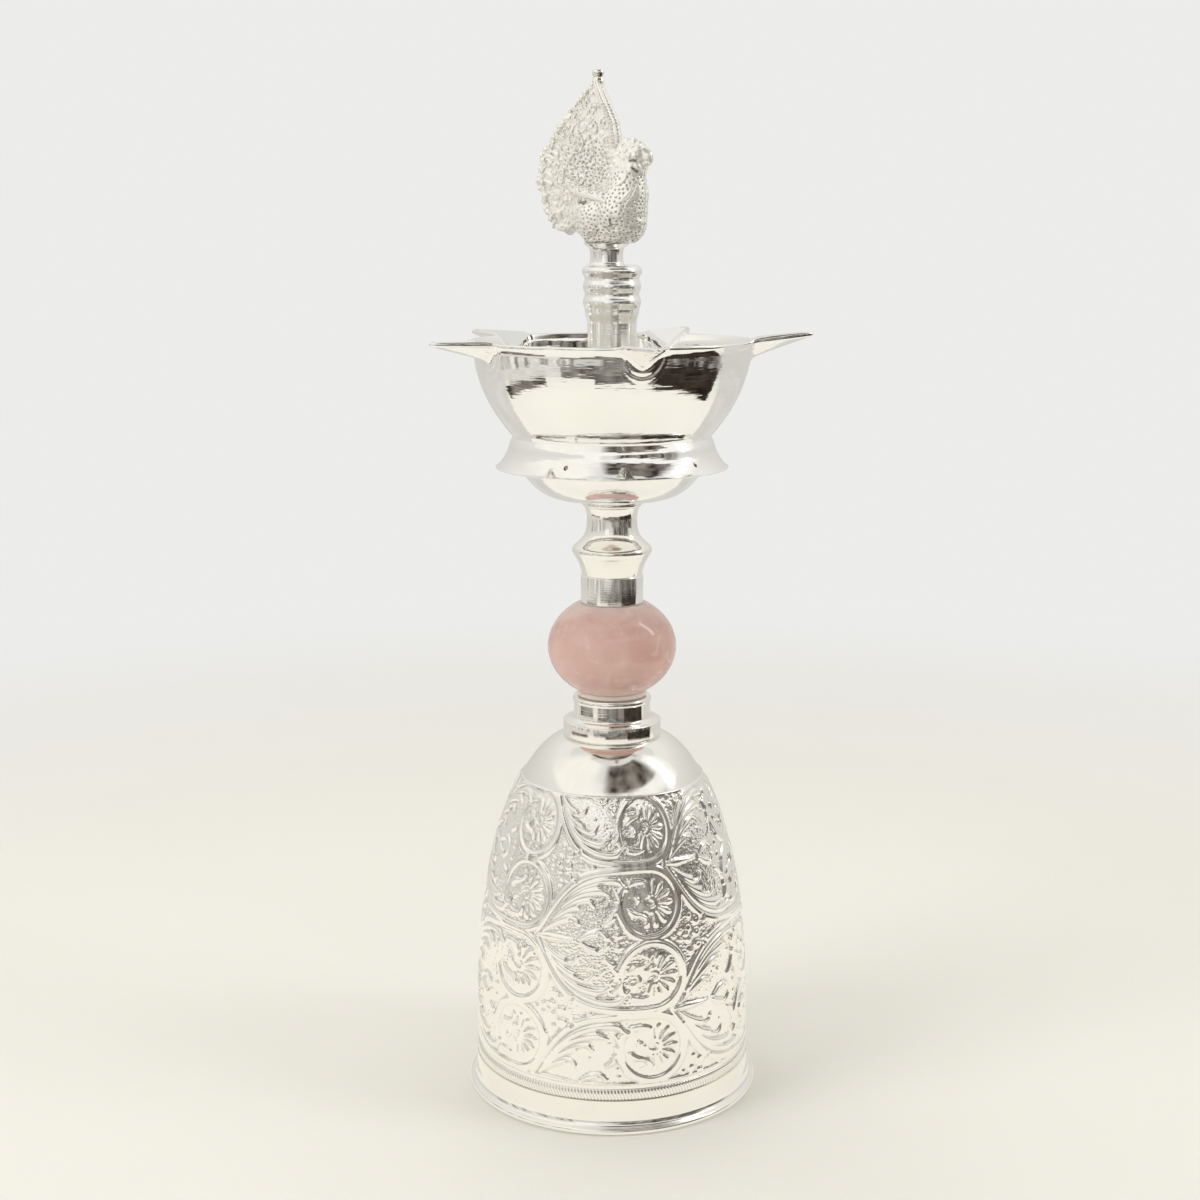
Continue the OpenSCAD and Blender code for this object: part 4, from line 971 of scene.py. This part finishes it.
stamped_silver = worked_silver("stamped_silver", 0.16, 0.26, 0.86, 0.6)
in_plane = np.array(((math.cos(BIRD_TURN), math.sin(BIRD_TURN), 0), (0, 0, 1)))
for half, outward_side in (("peacock_left_half", 1), ("peacock_right_half", -1)):
    rough_bm = bmesh.new()
    rough_bm.from_mesh(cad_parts[half].data)
    bmesh.ops.remove_doubles(rough_bm, verts=rough_bm.verts, dist=1e-6)
    rough = mesh_piece(half + "_rough", rough_bm, stamped_silver)
    fine = rough.modifiers.new("fine", "REMESH")
    fine.mode, fine.voxel_size = "VOXEL", BIRD_VOXEL
    bird_bm = with_modifiers(rough)
    for _ in range(SMOOTHINGS):
        bmesh.ops.smooth_vert(
            bird_bm, verts=bird_bm.verts, factor=0.5, use_axis_x=True, use_axis_y=True, use_axis_z=True,
        )
    bird_bm.normal_update()
    at = np.array([vert.co for vert in bird_bm.verts]) / MM - (FINIAL_SET, 0, BIRD_BASE_Z)
    normal = np.array([vert.normal for vert in bird_bm.verts])
    ahead = at[:, 0] * math.cos(BIRD_TURN) + at[:, 1] * math.sin(BIRD_TURN)
    aside = (at[:, 1] * math.cos(BIRD_TURN) - at[:, 0] * math.sin(BIRD_TURN)) * outward_side
    up, height = at[:, 2], np.zeros(len(at))
    chase_bird(height, ahead, up)
    body = ((aside > BODY_HALF) | (ahead > BODY_FRONT)) & (height < 0.12) & (up < BODY_TOP)
    from_pits = (np.column_stack([ahead, up]) - TAIL_PITS_AT) / TAIL_PITS_SIZE
    tail_middle = (np.hypot(*from_pits.T) < 1) & (height < 0.3)
    on_body = np.flatnonzero((aside > 0.5) & (body | tail_middle))
    seeds = at[on_body[:1]]
    for spot in at[np.random.default_rng(7).permutation(on_body)]:
        if ((seeds - spot) ** 2).sum(1).min() > PIT_PITCH ** 2:
            seeds = np.vstack([seeds, spot])
    for chunk in np.array_split(on_body, 1 + len(on_body) // 2000):
        away = np.sqrt(((at[chunk, None] - seeds) ** 2).sum(2).min(1))
        height[chunk] -= (PIT_DEPTH + height[chunk].clip(0)) * np.clip(1 - (away / PIT_R) ** 2, 0, None)
    reach = np.column_stack([ahead, up]) - FAN_ROOT
    span, round_fan = np.hypot(*reach.T), np.arctan2(reach[:, 1], -reach[:, 0])
    lumps = np.sin(17 * round_fan) + 0.8 * np.sin(29 * round_fan + 1) + 0.6 * np.sin(43 * round_fan + 2)
    outer = np.clip((span - 10) / 6, 0, 1) * np.clip((-1.5 - ahead) / 4, 0, 1) * np.clip((36 - up) / 5, 0, 1)
    shift = reach / span[:, None] * (EDGE_LUMP * lumps / 2 * outer)[:, None]
    above_beak = up - BEAK_ROOT[1]
    in_beak = np.clip((ahead - BEAK_ROOT[0]) / 1.6, 0, 1) * np.clip(2 - np.abs(above_beak) / 2, 0, 1)
    shift[:, 1] += BEAK_SWELL * in_beak * above_beak
    chased_out = normal * (height * np.clip(aside / 0.4, 0, 1))[:, None]
    moved = at + chased_out + shift @ in_plane + (FINIAL_SET, 0, BIRD_BASE_Z)
    for vert, spot in zip(bird_bm.verts, moved):
        vert.co = spot * MM
    stamped = mesh_piece(half + "_stamped", bird_bm, stamped_silver, 70)
    # Pits and hollows are darkened: stain and painted shade.
    mark(stamped, "stain_and_shade", np.clip((0.06 - height) / 0.3, 0, 1) * (aside > 0.3))
    fit_on(stamped, "finial", "stamped_silver", half)


# Tip knob: a small turned silver knob on the tip of the tail, with a hollow waist.
# It closes the join of the two halves and is soldered on.
KNOB_LOW, KNOB_HIGH, KNOB_R = 271.0, 274.4, 1.6
TAIL_TIP = -2.5
knob_outline = (
    [(0, KNOB_LOW), (KNOB_R - 0.1, KNOB_LOW)]
    + eased([(KNOB_R, KNOB_LOW + 0.15), (1.3, KNOB_LOW + 1.4), (KNOB_R, KNOB_LOW + 2.5)], 10)[:-1]
    + arc((KNOB_R - 0.7, KNOB_HIGH - 0.9), 0.7, 0.9, 0, 90, 10)
    + [(0, KNOB_HIGH)]
)
turning(
    "tip_knob_turned", knob_outline, turned_silver, "finial", "polished_silver", "tip_knob", steps=64, closed=False,
    at=(FINIAL_SET + TAIL_TIP * math.cos(BIRD_TURN), TAIL_TIP * math.sin(BIRD_TURN), 0),
)


# Studio: a round pale sweep that serves as floor and backdrop from every side, with soft lamps over it.
# Cards and cloths that only the silver sees stand round it: white ones overhead, grey behind, a dim room in front.
SWEEP_PALE, PAPER = (0.84, 0.84, 0.83, 1), (1.0, 0.975, 0.885, 1)
WALL_GREY, WALL_LIGHT = (0.64, 0.63, 0.59, 1), (0.86, 0.855, 0.82, 1)
FLOOR_Z, SWEEP_R, BEND_R, WALL_TOP = -0.3, 800, 600, 1800
sweep_outline = (
    [(0.0, FLOOR_Z), (150, FLOOR_Z), (400, FLOOR_Z), (SWEEP_R, FLOOR_Z)]
    + arc((SWEEP_R, BEND_R), BEND_R, BEND_R - FLOOR_Z, 270, 360, 24)
    + [(SWEEP_R + BEND_R, WALL_TOP)]
)
sweep_paint, tree, shader, place = new_material("studio_sweep")
grain = add(tree, "TexNoise", {"Vector": place, "Scale": 6.0})
paint = blend(tree, grain, (0.80, 0.785, 0.735, 1), (0.83, 0.815, 0.765, 1))
feed(tree, shader, {"Base Color": paint, "Roughness": 0.9})
flat = add(tree, "VectorMath", {0: place, 1: (1.0, 1.0, 0.0)}, operation="MULTIPLY")
away = add(tree, "VectorMath", {0: flat}, "Value", operation="LENGTH")
far = add(tree, "MapRange", {0: away, 1: 0.2, 2: 0.7, 3: 0.0, 4: 1.0}, interpolation_type="SMOOTHSTEP")
near = ranged(tree, far, 0.0, 1.0, 0.6, 0.0)
path = add(tree, "LightPath", None, None)
seen = add(tree, "Math", {0: path["Is Camera Ray"], 1: path["Is Glossy Ray"]}, operation="MAXIMUM")
glow_share = add(tree, "Math", {0: seen, 1: far}, operation="MULTIPLY")
lighter = ranged(tree, add(tree, "SeparateXYZ", {0: place}, "Z"), 0.0, 1.2, 0.0, 1.0)
wall_tone = blend(tree, lighter, WALL_GREY, WALL_LIGHT)
glow = add(tree, "Emission", {"Color": blend(tree, path["Is Glossy Ray"], SWEEP_PALE, wall_tone)})
backdrop = add(tree, "MixShader", {0: glow_share, 1: shader.outputs[0], 2: glow})
paper_share = add(tree, "Math", {0: path["Is Glossy Ray"], 1: near}, operation="MULTIPLY")
paper = add(tree, "Emission", {"Color": PAPER})
mixed = add(tree, "MixShader", {0: paper_share, 1: backdrop, 2: paper})
feed(tree, tree.nodes["Material Output"], {"Surface": mixed})
sweep_bm = spun(sweep_outline, 96, closed=False)
bmesh.ops.reverse_faces(sweep_bm, faces=sweep_bm.faces)
sweep = mesh_piece("studio_sweep", sweep_bm, sweep_paint, 80)


def card_paint(name, dark, light, stretch, strength):
    """Uneven paint or cloth for a card, with patches drawn out along one way.
    It thins out where the mesh says so."""
    cloth, tree, _, place = new_material(name)
    drawn = add(tree, "VectorMath", {0: place, 1: stretch}, operation="MULTIPLY")
    patches = add(tree, "TexNoise", {"Vector": drawn, "Scale": 1.0, "Detail": 3.0})
    dye = blend(tree, ranged(tree, patches, 0.36, 0.64, 0.0, 1.0), dark, light)
    lit = add(tree, "Emission", {"Color": dye, "Strength": strength})
    solid = add(tree, "Attribute", None, "Fac", attribute_name="solid")
    mixed = add(tree, "MixShader", {0: solid, 1: add(tree, "BsdfTransparent"), 2: lit})
    feed(tree, tree.nodes["Material Output"], {"Surface": mixed})
    return cloth


EVEN, FOLDS = (7.0, 7.0, 7.0), (16.0, 16.0, 1.5)
paints = {
    label: card_paint("card_" + label, dark, light, stretch, strength)
    for label, dark, light, stretch, strength in (
        ("black", (0.012, 0.009, 0.007, 1), (0.06, 0.047, 0.037, 1), EVEN, 1.0),
        ("brown", (0.04, 0.034, 0.028, 1), (0.30, 0.27, 0.235, 1), EVEN, 1.0),
        ("grey", (0.10, 0.09, 0.08, 1), (0.40, 0.38, 0.34, 1), EVEN, 1.0),
        ("pale", (0.60, 0.57, 0.52, 1), (0.82, 0.80, 0.75, 1), EVEN, 1.0),
        ("dark_folds", (0.02, 0.016, 0.013, 1), (0.40, 0.38, 0.35, 1), FOLDS, 1.0),
        ("mid_folds", (0.05, 0.045, 0.04, 1), (0.52, 0.50, 0.46, 1), FOLDS, 1.0),
        ("pale_folds", (0.22, 0.21, 0.185, 1), (0.94, 0.92, 0.87, 1), FOLDS, 1.0),
        ("white", (0.95, 0.94, 0.90, 1), (1.0, 0.99, 0.95, 1), EVEN, 1.0),
        ("cream", (0.95, 0.935, 0.865, 1), (0.99, 0.975, 0.91, 1), EVEN, 1.0),
        ("bright", (0.98, 0.97, 0.94, 1), (1.0, 0.99, 0.97, 1), EVEN, 5.5),
        ("wall", WALL_GREY, (0.72, 0.71, 0.67, 1), EVEN, 1.0),
    )
}


def overhead(low, high, reach=720):
    """The outline of a card that is bent over the lamp, between two heights in degrees."""
    return arc((0, 150), reach, reach, low, high, 10)


def table(start_r, end_r=700):
    """The outline of a cloth that lies flat round the lamp."""
    return [(start_r, 1.0), (end_r, 2.0)]


def hide(piece):
    """A card is seen only by the silver and the stone, and casts no shadow."""
    piece.visible_camera = piece.visible_diffuse = piece.visible_shadow = False


for number, (outline, start, end, paint, soft) in enumerate((
    # the table's edge and the floor beyond it, from left to right
    (table(335, 430), -108, -58, "brown", 0), (table(430), -100, -43, "pale", 0),
    (table(410), -43, -26, "grey", 0), (table(400), -26, -15, "brown", 0),
    (table(312), -15, 12, "grey", 0), (table(318), 12, 36, "brown", 0), (table(290), 36, 100, "black", 0),
    # the room's wall, with the folds of its curtains
    ([(700, 2), (710, 60), (720, 260)], -102, -31, "pale_folds", 0),
    ([(700, 2), (704, 55)], -11, 104, "dark_folds", 0.03), ([(704, 55), (708, 170)], -4, 38, "mid_folds", 0.12),
    ([(704, 55), (708, 170)], 34, 100, "brown", 0.05), ([(708, 170), (720, 520)], 0, 82, "dark_folds", 0.14),
    # cards overhead
    (overhead(6, 30), -34, -10, "white", 0.2), (overhead(29, 39), -60, 95, "white", 0.1),
    (overhead(28, 69), -118, -14, "cream", 0.25), (overhead(39, 68), -16, 82, "brown", 0.12),
    (overhead(22, 60, 710), 78, 114, "white", 0.25), (overhead(24, 53, 700), 86, 99, "bright", 0.5),
)):
    bm = bmesh.new()
    first = Matrix.Rotation(math.radians(start - 90), 3, "Z")
    points = [bm.verts.new(first @ Vector((r * MM, 0, z * MM))) for r, z in outline]
    edges = [bm.edges.new(pair) for pair in zip(points, points[1:])]
    bmesh.ops.spin(
        bm, geom=points + edges, cent=(0, 0, 0), axis=(0, 0, 1), angle=math.radians(end - start), steps=24,
    )
    flag = mesh_piece("studio_card_%d" % (number + 1), bm, paints[paint])
    points = coordinates(flag.data)
    run = (np.degrees(round_axis(points)[1]) - start + 1) % 360 - 1
    inside = np.minimum(run, end - start - run) / (end - start)
    mark(flag, "solid", np.clip(inside / soft, 0, 1) if soft else np.ones(len(points)))
    hide(flag)

back_bm = bmesh.new()
bmesh.ops.create_grid(back_bm, x_segments=8, y_segments=4, size=1.0)
bmesh.ops.scale(back_bm, verts=back_bm.verts, vec=(0.7, 0.28, 1))
bmesh.ops.translate(back_bm, verts=back_bm.verts, vec=(0, 0.41, 0.001))
back_card = mesh_piece("studio_back_card", back_bm, paints["wall"])
mark(back_card, "solid", np.ones(len(back_card.data.vertices)))
hide(back_card)

for name, place_at, aim, size, watts in (
    ("lamp_left", (-0.75, -0.45, 0.55), (0, 0, 0.12), (0.5, 0.7), 3.4),
    ("lamp_right", (0.8, -0.2, 0.5), (0, 0, 0.12), (0.35, 0.7), 2.2),
    ("lamp_top", (-0.1, 0.25, 1.1), (0, 0, 0.1), (0.7, 0.7), 3.0),
):
    lamp = bpy.data.lights.new(name, "AREA")
    lamp.shape, lamp.size, lamp.size_y, lamp.energy = "RECTANGLE", size[0], size[1], watts
    stand = bpy.data.objects.new(name, lamp)
    stand.location = place_at
    stand.rotation_euler = (Vector(aim) - Vector(place_at)).to_track_quat("-Z", "Y").to_euler()
    stand.visible_camera = stand.visible_glossy = False
    bpy.context.scene.collection.objects.link(stand)

world = bpy.data.worlds.new("studio_air")
bpy.context.scene.world = world
world.use_nodes = True
world.node_tree.nodes["Background"].inputs["Color"].default_value = (0.74, 0.74, 0.72, 1)
world.node_tree.nodes["Background"].inputs["Strength"].default_value = 1.0
bpy.context.scene.view_settings.view_transform = "Standard"

camera_data = bpy.data.cameras.new("photo_camera")
camera_data.lens, camera_data.sensor_width, camera_data.shift_x = 56.7, 36.0, -0.01
camera = bpy.data.objects.new("photo_camera", camera_data)
camera.location, camera.rotation_euler = (0, -0.501, 0.2332), (math.radians(79), 0, 0)
bpy.context.scene.collection.objects.link(camera)
bpy.context.scene.camera = camera
